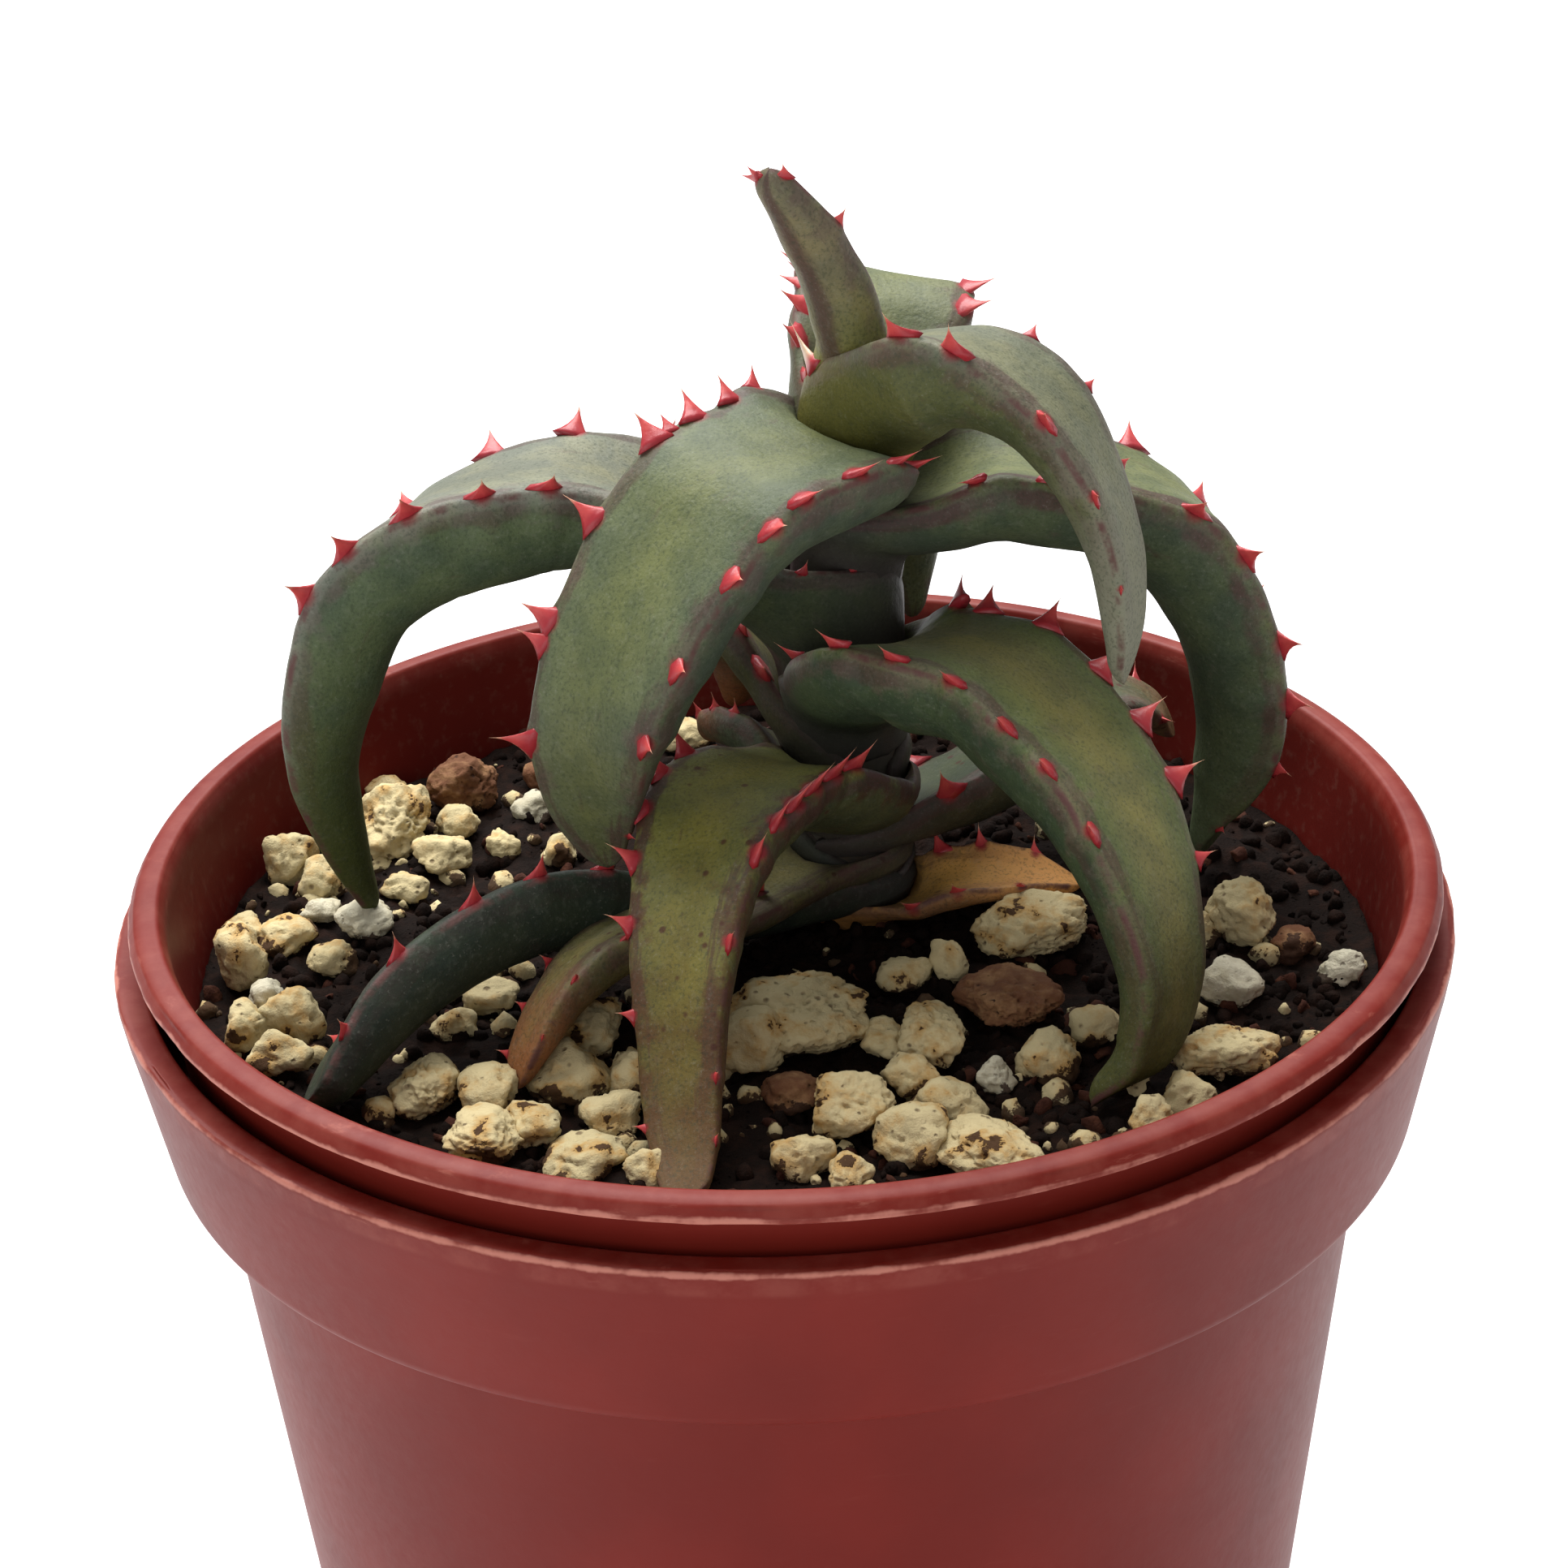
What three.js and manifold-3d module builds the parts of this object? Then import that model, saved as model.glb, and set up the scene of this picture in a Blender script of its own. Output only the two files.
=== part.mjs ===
// Potted aloe hybrid in two nested nursery pots.
// Millimetres, +Z up. The origin is the middle of the outer pot's foot; the front is -Y.

import * as THREE from 'three';
import Module from 'manifold-3d';

const wasm = await Module();
wasm.setup();

// Driving sizes

const GAP = 0.3;

// Outer radii of the two pots at the rim, the collar and the body
const OUTER = { rim: 53.5, collarTop: 52.9, collarFoot: 50.6, bodyTop: 47.0, bodyFoot: 38.6 };
const INNER = { rim: 52.2, collarTop: 50.3, collarFoot: 48.2, bodyTop: 45.4, bodyFoot: 37.0 };
const INNER_LIFT = 4.9;
const INNER_SHIFT = [0.2, -0.4];

const POT_HEIGHT = 90;
const RIM_WIDTH = 2.6;
const RIM_DROP = 1.6;
const COLLAR_DEPTH = 15.4;
const WALL = 1.0;
const FLOOR = 1.4;
const POT_SIDES = 40;

const DRAIN_COUNT = 6;
const DRAIN_RADIUS = 4.5;
const DRAIN_CIRCLE = 26;

const LUG_ANGLES = [28, 118, 208, 298];
const LUG_HALF_WIDTH = 3.0;
const LUG_INSET = 0.8;

const SOIL_LEVEL = 84.3;
const SOIL_SIDES = 36;
const SOIL_RINGS = 6;

// Stem: x, y, z and radius from the root end to the top

const STEM = [
  [6.2, 10.4, 66, 3.2],
  [6.0, 10.0, 78, 4.4],
  [5.8, 9.5, 90, 4.4],
  [5.6, 9.0, 110, 4.2],
  [6.2, 8.6, 122, 3.8],
  [6.6, 8.4, 131, 2.4],
];
const STEM_SIDES = 12;

// Leaf shape

const UPPER_POINTS = 4;
const LOWER_POINTS = 5;
const EDGE_THICKNESS = 0.7;
const LEAF_RINGS = 12;
const SMALL_LEAF_RINGS = 9;
const COLLAR_SIDES = 8;
const COLLAR_WALL = 0.9;

// Tooth shape

const TOOTH_LENGTH = 2.75;
const TOOTH_ROOT = 1.35;
const TOOTH_HALF_THICKNESS = 0.75;
const TOOTH_SINK = 1.0;
const TOOTH_LEAN = 0.25;
const TOOTH_RISE = 30;

// Leaves. heading: the way the leaf grows, degrees from +X.
// clasp: height and depth of the ring that holds the stem.
// A row is x, y, z of the middle of the upper face, width, thickness, roll and channel angle.
// left and right: where teeth stand on each margin, from 0 at the stem to 1 at the tip.
// A tooth given as a list is its place and its size beside a full-grown one, and, if they
// aren't the usual ones, how far it stands up in degrees and how far it leans to the tip.
// rise: how far the teeth stand up from the margin, in degrees, where it isn't TOOTH_RISE.

const LEAVES = {
  leaf_left_front: {
    heading: -132,
    clasp: [118.7, 4],
    rows: [
      [6.2, 8.6, 122.7, 10.5, 4.5, 0, 50],
      [4.9, 1.9, 129.4, 16, 6, -8, 36],
      [2.2, -2, 130.6, 15.7, 7, -6, 30],
      [-3.2, -6.8, 130.3, 15.5, 8, -3, 15],
      [-8.1, -9.8, 125.7, 15, 8, 1, 10],
      [-12, -12.3, 119.3, 14, 7.5, 3, 10],
      [-14.5, -13.3, 112.3, 11.5, 6.3, -1, 10],
      [-14.7, -11.8, 105.4, 8, 4.6, -15, 15],
      [-13.4, -9.4, 98.9, 2.2, 1.6, -34, 20],
    ],
    right: [[0.12, 0.8], [0.225, 0.85], 0.31, [0.355, 0.6], 0.385, 0.51, 0.64, [0.67, 0.8], 0.8],
    left: [
      [0.15, 0.8], [0.19, 0.8], [0.27, 0.9], [0.35, 0.9], [0.4, 0.9], [0.48, 0.85], [0.61, 0.8],
      [0.715, 0.8], [0.93, 0.7],
    ],
  },
  leaf_right_front: {
    heading: -45,
    clasp: [100.6, 4.8],
    rows: [
      [5.7, 9.1, 104.4, 10.5, 4.5, 0, 50],
      [8.5, 1, 111.5, 16, 5.4, -6, 70],
      [11.6, -2.2, 114.1, 15.2, 7.2, -6, 30],
      [17.6, -6, 114.1, 14.5, 7.6, -7, 15],
      [22.6, -10.9, 110.7, 14, 7.6, -10, 10],
      [25.9, -14.9, 107.1, 13.2, 6.8, -12, 10],
      [28.5, -19.4, 101.2, 11.2, 5.6, -13, 10],
      [29.5, -22.9, 94.5, 8.8, 4.6, -13, 10],
      [27.3, -25.2, 88.8, 5.6, 3.4, 0, 15],
      [22.6, -26, 85.7, 1.6, 1.3, 6, 20],
    ],
    right: [[0.12, 0.7], [0.18, 0.8], [0.25, 0.8], [0.33, 0.8], [0.42, 0.8], [0.5, 0.75], [0.6, 0.75]],
    left: [0.14, 0.25, 0.325, 0.395, 0.47, 0.56, [0.65, 0.6]],
  },
  leaf_right_back: {
    heading: 7,
    clasp: [113.6, 4.8],
    rows: [
      [6, 8.8, 117.4, 10.5, 4.5, 0, 50],
      [15.8, 8.8, 122.9, 14.7, 5.2, -5, 60],
      [22.7, 9, 123.7, 13.6, 6.7, -4, 25],
      [28.7, 9.5, 122.7, 13, 7.6, -1, 15],
      [34.7, 10, 118.9, 12.5, 7.8, -5, 10],
      [39.5, 10.5, 110.2, 12, 7.4, 1, 10],
      [40.8, 11, 100.2, 10.5, 6.6, 4, 10],
      [38.9, 11.5, 92.9, 8, 5.2, 15, 15],
      [34.8, 12, 86.5, 1.6, 1.3, 46, 20],
    ],
    right: [[0.135, 0.7, 0, -1.2], [0.23, 0.9, 8, 0.9], 0.45, 0.535, 0.635, 0.7, [0.79, 0.6], [0.93, 0.7]],
    left: [0.3, 0.4, 0.53, 0.66, 0.78],
  },
  leaf_left: {
    heading: 187,
    clasp: [107.2, 5.5],
    rows: [
      [5.7, 8.9, 111.6, 10.5, 4.5, 0, 50],
      [-7.4, 8.1, 122, 15.2, 6, -1, 60],
      [-15.6, 7, 125.8, 13.4, 8.2, 3, 25],
      [-22.1, 6, 125.5, 12.8, 8.5, 10, 15],
      [-28.4, 5, 123.4, 12.5, 8.1, 19, 10],
      [-33.9, 4, 118.4, 11.5, 7, 27, 10],
      [-37, 3.4, 110.8, 10.3, 6.2, 24, 10],
      [-38.1, 4, 102.5, 8.5, 4.8, 16, 10],
      [-36.7, 5.4, 94.2, 5.4, 3.4, 6, 15],
      [-34.1, 7.5, 86.5, 1.4, 1.2, 0, 20],
    ],
    right: [0.12, 0.2, 0.31, 0.455, [0.6, 0.6]],
    left: [0.13, 0.255, 0.34, 0.43, 0.505, 0.565],
  },
  leaf_front_low: {
    heading: -113,
    clasp: [93.5, 3.6],
    rise: 48,
    rows: [
      [5.7, 9.3, 96.4, 10.5, 4.5, 0, 50],
      [4.7, 1.7, 100.3, 13.6, 4.5, -7, 60],
      [-0.4, -4.2, 104.9, 13.1, 5.5, 0, 25],
      [-4.3, -11, 105.7, 12.2, 5.8, 2, 15],
      [-6.5, -16.9, 103.7, 10.8, 5.2, 12, 10],
      [-8.1, -23.9, 98.7, 8.6, 4.4, 12, 10],
      [-8.4, -29.4, 91.9, 6.6, 3.6, 10, 10],
      [-8.1, -33.6, 88.5, 5.2, 2.6, 8, 12],
      [-7.9, -38.2, 86.8, 3, 1.4, 4, 20],
    ],
    right: [0.29, 0.35, 0.42, [0.5, 0.85], [0.58, 0.75], [0.68, 0.65], [0.82, 0.7]],
    left: [0.22, 0.27, 0.32, 0.37, [0.43, 0.9], [0.5, 0.85], [0.61, 0.7], [0.76, 0.6], [0.88, 0.6]],
  },
  leaf_upper_right: {
    heading: -35,
    clasp: [125.1, 2.2],
    rows: [
      [6.4, 8.5, 127.9, 9.5, 4.5, 0, 50],
      [8.5, 3.5, 134.8, 11.5, 6.4, 8, 60],
      [11.6, 2.3, 137.1, 11.1, 7.8, -12, 30],
      [15.6, 0.9, 137.5, 11.1, 7.2, -13, 20],
      [19.8, -1, 135.9, 10.5, 6.2, -9, 15],
      [23.2, -2.9, 132.9, 9.8, 5.2, -12, 10],
      [25.9, -4.9, 127.8, 8.2, 4.2, -15, 10],
      [27.5, -6.1, 122, 6.2, 3.4, -12, 10],
      [27.6, -6.9, 116.2, 4.2, 2.6, -8, 12],
      [26.7, -7.2, 111.8, 1.2, 1.2, -4, 20],
    ],
    right: [0.245, [0.345, 1, 45], [0.545, 0.85], [0.67, 0.7], [0.81, 0.6]],
    left: [[0.41, 0.5], [0.54, 0.4], [0.66, 0.4]],
  },
  leaf_top_back: {
    heading: 78,
    clasp: [123, 1.8],
    rows: [
      [6.3, 8.5, 125.7, 10, 4.5, 0, 50],
      [8.5, 14, 130.5, 12, 5, 22, 60],
      [10.1, 20.1, 134.3, 13.4, 6.5, 10, 12],
      [10.2, 26.7, 133.6, 13.7, 6.8, 8, 1],
      [10.4, 33.8, 126, 12, 6.4, 4, 10],
      [11.3, 37.8, 115.5, 9.1, 5.4, -10, 10],
      [12, 38.4, 105.6, 5.5, 3.8, -20, 12],
      [12.2, 37.5, 97.7, 1.4, 1.2, -30, 20],
    ],
    right: [0.275, 0.335, 0.7, 0.83],
    left: [[0.14, 1, 0, 0], [0.2, 1, 0, 0], [0.27, 0.9, 0, 0], 0.36, 0.5, 0.64],
  },
  leaf_top_upright: {
    heading: -105,
    clasp: [127.6, 3],
    rows: [
      [6.6, 8.4, 130, 6, 4, 0, 50],
      [7.3, 5.4, 136.2, 5, 3.2, -15, 50],
      [5.9, 4.5, 141.7, 5, 3, -8, 40],
      [3.8, 2.7, 146.7, 4.2, 2.6, -7, 30],
      [2, 1.4, 149.7, 3.2, 2, -3, 30],
      [1.1, 0.6, 151.4, 2.3, 1.5, -8, 20],
    ],
    right: [[0.92, 1.1, 0, 0.1], [0.97, 1, 0, 2.4]],
    left: [[0.57, 1.2, 10, 0.6], [0.95, 1, 0, 2.2]],
  },
  leaf_left_low: {
    heading: 213,
    clasp: [86.9, 1.8],
    rows: [
      [5.8, 9.6, 88.5, 9, 3.4, 0, 50],
      [-2.7, 2, 90.4, 8.6, 4, 15, 40],
      [-11.3, -2.1, 93.2, 8.4, 4.8, 34, 20],
      [-18.7, -7.1, 96.2, 8.4, 5.2, 42, 15],
      [-25.3, -12, 96.2, 8.2, 5.2, 46, 10],
      [-31.1, -17.5, 94.2, 7.4, 4.8, 48, 10],
      [-34.6, -21.5, 90.8, 6.4, 3.8, 38, 12],
      [-36.3, -25, 88.3, 4, 2.4, 30, 20],
    ],
    right: [0.28, 0.4, 0.58, 0.69, 0.82],
    left: [0.17, [0.3, 0.7], 0.38, 0.47, 0.57, 0.69, [0.83, 0.8]],
  },
  leaf_front_left_small: {
    heading: 222,
    clasp: [90, 1.8],
    rows: [
      [5.8, 9.6, 91.4, 8, 3, 0, 50],
      [-4.2, -3, 92.6, 7.7, 3, -10, 40],
      [-10.3, -10, 95, 7.6, 3.6, 12, 20],
      [-14.7, -14, 95.1, 7.2, 3.6, 22, 15],
      [-18, -17.5, 93.2, 5.8, 3.2, 26, 12],
      [-20.2, -20.4, 89.9, 3.8, 2.4, 14, 15],
      [-21, -22, 86.8, 1.3, 1.2, -2, 20],
    ],
    right: [[0.39, 0.7], [0.58, 0.8], [0.73, 0.8], [0.88, 0.8]],
    left: [[0.48, 0.6], [0.64, 0.6], [0.8, 0.5]],
  },
  leaf_right_small: {
    heading: 2,
    clasp: [85.2, 1.4],
    rows: [
      [5.9, 9.6, 87, 7, 1.6, 0, 50],
      [9.6, 6, 87.3, 7.5, 1.8, 1, 60],
      [13.4, 4.9, 89, 7.5, 2, 2, 70],
      [17.4, 4.8, 89.5, 6.4, 1.8, 8, 70],
      [21.2, 5.1, 89.2, 4.2, 1.6, 9, 60],
      [24.6, 5.5, 88, 1.3, 1.2, 1, 20],
    ],
    right: [0.3, 0.45, 0.68],
    left: [0.38, 0.56, 0.78],
  },
  leaf_back_left: {
    heading: 118,
    clasp: [97.4, 2.9],
    rows: [
      [5.7, 9.2, 99.6, 9, 3.6, 0, 50],
      [0.5, 14.1, 105.8, 9.2, 3.8, 34, 40],
      [-2.2, 18.4, 108.7, 8.1, 4.2, 22, 25],
      [-3, 22.4, 105.7, 7.4, 4.2, -15, 12],
      [-3.4, 24.9, 100.1, 5.4, 3.4, -21, 10],
      [-3.8, 25.5, 95.7, 1.5, 1.3, -22, 20],
    ],
    right: [0.22, 0.4, 0.6],
    left: [0.17, 0.25, 0.34, 0.48, 0.64],
  },
  leaf_right_low: {
    heading: 38,
    clasp: [92.1, 1.2],
    rows: [
      [5.8, 9.4, 92.8, 9, 3.4, 0, 50],
      [11.1, 11.8, 93.6, 11.4, 4, -18, 50],
      [16.5, 14.9, 95.2, 10.6, 5, -22, 20],
      [22.9, 19, 97.3, 9, 4.6, -17, 10],
      [28.6, 23, 97.1, 7, 3.8, 4, 10],
      [32.7, 26.5, 93.9, 4.5, 2.8, 31, 12],
      [34.4, 28, 89.9, 1.4, 1.2, 58, 20],
    ],
    right: [0.19, 0.37, 0.55, 0.8],
    left: [0.25, 0.39, 0.58, 0.8],
  },
  leaf_back_small: {
    heading: 128,
    clasp: [89, 0.7],
    rows: [
      [5.7, 9.4, 92, 6, 2.4, 0, 40],
      [0.9, 14.3, 96.5, 6.6, 2.8, 40, 40],
      [-1.8, 17.9, 97.6, 6, 2.8, 39, 20],
      [-4.5, 20.9, 96.7, 4, 2.2, 38, 15],
      [-6.2, 23, 94.6, 1.3, 1.2, 14, 20],
    ],
    right: [0.45, 0.63, 0.78],
    left: [0.46, 0.62, 0.78],
  },
};

// Stones on the soil. A row is x, y, half length and half height as they lie.

const STONES = {
  pumice: [
    [-32.6, 22.1, 3.3, 2.3], [-41.6, 16.8, 2.1, 1.9], [-38.5, 13.7, 1.9, 1.5],
    [-28.7, 17.6, 2.2, 1.5], [-31.5, 12.5, 1.7, 1.2], [-40.9, 4.5, 2.1, 1.5],
    [-44.2, 5.8, 2.0, 1.2], [-43.6, -1.6, 2.5, 2.4], [-36.6, 1.2, 1.9, 1.3],
    [-38.8, -10.4, 2.2, 2.1], [-42.2, -11.2, 2.0, 1.6], [-39.4, -16.2, 2.2, 1.6],
    [-27.7, -21.8, 2.7, 1.9], [-22.8, -22.4, 2.3, 1.5], [-23.4, -6.5, 2.0, 1.3],
    [-26.2, -10.5, 1.5, 1.1], [-16.1, -13.3, 2.8, 2.1], [-17.0, -19.5, 2.6, 1.9],
    [-19.4, -27.0, 2.5, 1.4], [-22.9, -29.2, 2.8, 1.3], [-15.4, -31.5, 2.5, 1.4],
    [-13.4, -25.7, 2.2, 1.5], [-12.2, -19.4, 2.0, 1.5], [-10.8, -34.0, 1.8, 1.3],
    [-3.0, -17.4, 2.6, 2.1], [1.0, -13.2, 5.2, 2.6], [7.4, -15.8, 1.8, 1.4],
    [11.2, -16.5, 2.7, 1.9], [9.1, -22.6, 2.0, 1.5], [12.1, -25.0, 2.4, 1.5],
    [4.6, -26.6, 3.1, 2.1], [0.8, -32.4, 2.0, 1.7], [9.1, -30.8, 2.6, 1.7],
    [14.8, -32.9, 3.5, 1.5], [4.0, -35.2, 1.9, 1.1], [20.0, -20.0, 2.4, 1.7],
    [9.6, -5.4, 2.0, 1.4], [13.2, -4.8, 1.5, 1.7], [20.4, 1.0, 4.3, 2.1],
    [23.9, -14.8, 2.0, 1.5], [37.5, 0.6, 2.7, 2.2], [33.4, 0.4, 1.8, 1.4],
    [33.2, -20.2, 3.1, 1.9], [29.8, -25.6, 2.0, 1.4], [26.5, -29.4, 1.7, 1.2],
    [17.4, 26.8, 2.2, 1.4], [-27.3, 23.8, 1.9, 1.2], [-23.7, 20.0, 1.5, 1.1],
    [-18.6, 18.4, 1.6, 1.1], [-8.1, 38.7, 1.9, 1.2], [-34.0, 30.6, 1.9, 1.1],
  ],
  white_grit: [
    [-38.2, 9.3, 1.5, 1.1], [-34.4, 6.4, 2.3, 1.2], [-41.2, -6.4, 1.8, 1.4],
    [15.6, -22.2, 1.5, 1.2], [34.9, -9.5, 2.4, 1.7], [44.2, -6.4, 1.7, 1.2],
    [-21.4, 26.5, 1.6, 1.1],
  ],
  clinker: [
    [17.4, -11.6, 3.5, 1.7], [-0.2, -23.2, 2.1, 1.3], [41.0, -2.0, 2.0, 1.0],
    [-26.8, 29.2, 2.8, 1.9], [-20.8, 31.6, 1.6, 1.2],
  ],
};
const STONE_GAP = 0.4;
const GRIT_RADIUS = 1.45;
const GRIT_SPACING = 2.4;
const LINK_LIMIT = 7.5;

// Surface colours and finish

const FINISH = {
  plastic: { color: 0x8f3a30, roughness: 0.42, metalness: 0 },
  soil: { color: 0x2a1d18, roughness: 0.95, metalness: 0 },
  stem: { color: 0x5d6a55, roughness: 0.7, metalness: 0 },
  leaf: { color: 0x627558, roughness: 0.5, metalness: 0 },
  leaf_old: { color: 0x7d6a45, roughness: 0.6, metalness: 0 },
  pumice: { color: 0xd8c99c, roughness: 0.9, metalness: 0 },
  white_grit: { color: 0xd9d6c8, roughness: 0.9, metalness: 0 },
  clinker: { color: 0x6f4a35, roughness: 0.9, metalness: 0 },
};

// Helpers

const radians = (degrees) => (degrees * Math.PI) / 180;

function seeded(seed) {
  let state = seed;
  return () => {
    state = (state * 1664525 + 1013904223) % 4294967296;
    return state / 4294967296;
  };
}

function bump(x, y, z) {
  return Math.sin(x * 1.7 + y * 0.9) * Math.cos(y * 1.3 - z * 1.1) + 0.5 * Math.sin(z * 2.3 + x * 2.9);
}

// A closed solid from points and faces, turned so that its faces point outwards
function solid(points, faces) {
  let volume = 0;
  for (const [a, b, c] of faces) {
    volume += points[a].dot(points[b].clone().cross(points[c]));
  }
  const turned = volume < 0 ? faces.map(([a, b, c]) => [a, c, b]) : faces;
  const vertProperties = new Float32Array(points.flatMap((p) => [p.x, p.y, p.z]));
  const triVerts = new Uint32Array(turned.flat());
  return new wasm.Manifold(new wasm.Mesh({ numProp: 3, vertProperties, triVerts }));
}

// A skin over rings of equal count, closed by a fan at each end
function loft(rings) {
  const count = rings[0].length;
  const points = rings.flat();
  const faces = [];
  for (let r = 0; r < rings.length - 1; r += 1) {
    for (let i = 0; i < count; i += 1) {
      const j = (i + 1) % count;
      const a = r * count + i;
      const b = r * count + j;
      faces.push([a, b, b + count]);
      faces.push([a, b + count, a + count]);
    }
  }
  for (const [ring, back] of [[0, true], [rings.length - 1, false]]) {
    const middle = new THREE.Vector3();
    rings[ring].forEach((p) => middle.add(p));
    points.push(middle.divideScalar(count));
    for (let i = 0; i < count; i += 1) {
      const a = ring * count + i;
      const b = ring * count + ((i + 1) % count);
      faces.push(back ? [points.length - 1, b, a] : [points.length - 1, a, b]);
    }
  }
  return solid(points, faces);
}

// A skin over rings that closes on itself, for a band with a hole through it
function band(rings) {
  const count = rings[0].length;
  const faces = [];
  for (let r = 0; r < rings.length; r += 1) {
    const next = (r + 1) % rings.length;
    for (let i = 0; i < count; i += 1) {
      const j = (i + 1) % count;
      faces.push([r * count + i, r * count + j, next * count + j]);
      faces.push([r * count + i, next * count + j, next * count + i]);
    }
  }
  return solid(rings.flat(), faces);
}

function circle(radius, z, sides, x = 0, y = 0) {
  const ring = [];
  for (let i = 0; i < sides; i += 1) {
    const angle = (i / sides) * 2 * Math.PI;
    ring.push(new THREE.Vector3(x + radius * Math.cos(angle), y + radius * Math.sin(angle), z));
  }
  return ring;
}

function turnedSolid(profile, sides, x = 0, y = 0) {
  return loft(profile.map(([radius, z]) => circle(radius, z, sides, x, y)));
}

// The shape less every obstacle whose box it meets
function clearOf(shape, obstacles) {
  const box = shape.boundingBox();
  let result = shape;
  for (const other of obstacles) {
    const apart = [0, 1, 2].some((k) => box.min[k] > other.box.max[k] || box.max[k] < other.box.min[k]);
    if (!apart) {
      result = result.subtract(other.shape);
    }
  }
  return result;
}

function largestBody(shape) {
  const bodies = shape.decompose();
  bodies.sort((a, b) => b.volume() - a.volume());
  return bodies[0];
}

// A smooth curve through rows of numbers, u from 0 to 1
function blend(rows, u) {
  const last = rows.length - 1;
  const place = Math.min(Math.max(u * last, 0), last - 1e-9);
  const i = Math.floor(place);
  const k = place - i;
  return rows[0].map((_, c) => {
    const b = rows[i][c];
    const d = rows[i + 1][c];
    const a = i > 0 ? rows[i - 1][c] : 2 * b - d;
    const e = i < last - 1 ? rows[i + 2][c] : 2 * d - b;
    const square = (2 * a - 5 * b + 4 * d - e) * k * k;
    const cube = (3 * b - a - 3 * d + e) * k * k * k;
    return 0.5 * (2 * b + (d - a) * k + square + cube);
  });
}

// Stem

function stemAt(z) {
  const above = STEM.findIndex((row) => row[2] > z);
  const hi = STEM[above < 0 ? STEM.length - 1 : Math.max(above, 1)];
  const lo = STEM[above < 0 ? STEM.length - 2 : Math.max(above, 1) - 1];
  const k = Math.min(1, (z - lo[2]) / (hi[2] - lo[2]));
  return { x: lo[0] + (hi[0] - lo[0]) * k, y: lo[1] + (hi[1] - lo[1]) * k, r: lo[3] + (hi[3] - lo[3]) * k };
}

function stemSolid(grow) {
  const rings = STEM.map(([x, y, z, r], i) => {
    const end = i === 0 ? -grow : i === STEM.length - 1 ? grow : 0;
    return circle(r + grow, z + end, STEM_SIDES, x, y);
  });
  return loft(rings);
}

// Leaves

// Side, face and growing directions of a leaf at u
function leafFrame(leaf, u) {
  const row = blend(leaf.rows, u);
  const ahead = blend(leaf.rows, Math.min(1, u + 0.001));
  const behind = blend(leaf.rows, Math.max(0, u - 0.001));
  const along = new THREE.Vector3(ahead[0] - behind[0], ahead[1] - behind[1], ahead[2] - behind[2]);
  along.normalize();
  const heading = radians(leaf.heading);
  const across = new THREE.Vector3(-Math.sin(heading), Math.cos(heading), 0);
  across.addScaledVector(along, -across.dot(along)).normalize();
  const up = along.clone().cross(across);
  const roll = radians(row[5]);
  const side = across.clone().multiplyScalar(Math.cos(roll)).addScaledVector(up, Math.sin(roll));
  const face = up.clone().multiplyScalar(Math.cos(roll)).addScaledVector(across, -Math.sin(roll));
  return { row, along, side, face, at: new THREE.Vector3(row[0], row[1], row[2]) };
}

// Cross-section: a channelled upper face and a full, rounded lower face
function leafSection(width, thickness, channel, grow) {
  const half = width / 2 + grow;
  const bend = Math.max(channel, 0.02) / width;
  const section = [];
  for (let i = 0; i < UPPER_POINTS; i += 1) {
    const s = half * (-1 + (2 * i) / (UPPER_POINTS - 1));
    section.push([Math.sin(bend * s) / bend, (1 - Math.cos(bend * s)) / bend + grow]);
  }
  for (let i = 0; i < LOWER_POINTS; i += 1) {
    const q = Math.sin(Math.PI * (0.5 - i / (LOWER_POINTS - 1)));
    const s = half * q;
    const depth = grow + EDGE_THICKNESS + (thickness - EDGE_THICKNESS) * Math.sqrt(Math.max(0, 1 - q * q));
    const sine = Math.sin(bend * s);
    const cosine = Math.cos(bend * s);
    section.push([sine / bend + sine * depth, (1 - cosine) / bend - cosine * depth]);
  }
  return section;
}

function bladeSolid(leaf, grow) {
  const rings = [];
  const count = leaf.rows.length > 7 ? LEAF_RINGS : SMALL_LEAF_RINGS;
  for (let i = 0; i < count; i += 1) {
    const { row, side, face, at } = leafFrame(leaf, i / (count - 1));
    const width = Math.max(row[3], 1.2);
    const thickness = Math.max(row[4], 1.0);
    const section = leafSection(width, thickness, radians(Math.max(row[6], 1)), grow);
    rings.push(section.map(([s, n]) => at.clone().addScaledVector(side, s).addScaledVector(face, n)));
  }
  return loft(rings);
}

// The ring at the leaf's foot that clasps the stem, deeper on the leaf's own side
function claspSolid(leaf, grow) {
  const [foot, depth] = leaf.clasp;
  const heading = radians(leaf.heading);
  const ring = (z, wall, flare) => {
    const stem = stemAt(z);
    return circle(1, z, COLLAR_SIDES, 0, 0).map((p, i) => {
      const angle = (i / COLLAR_SIDES) * 2 * Math.PI;
      const own = 0.5 + 0.5 * Math.cos(angle - heading);
      const radius = stem.r + GAP + 0.12 + wall + flare * own;
      return new THREE.Vector3(stem.x + radius * Math.cos(angle), stem.y + radius * Math.sin(angle), z);
    });
  };
  return band([
    ring(foot - grow, -grow, 0),
    ring(foot - grow, COLLAR_WALL + grow, 0),
    ring(foot + depth + grow, COLLAR_WALL + grow, 1.4),
    ring(foot + depth + grow, -grow, 0),
  ]);
}

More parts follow.
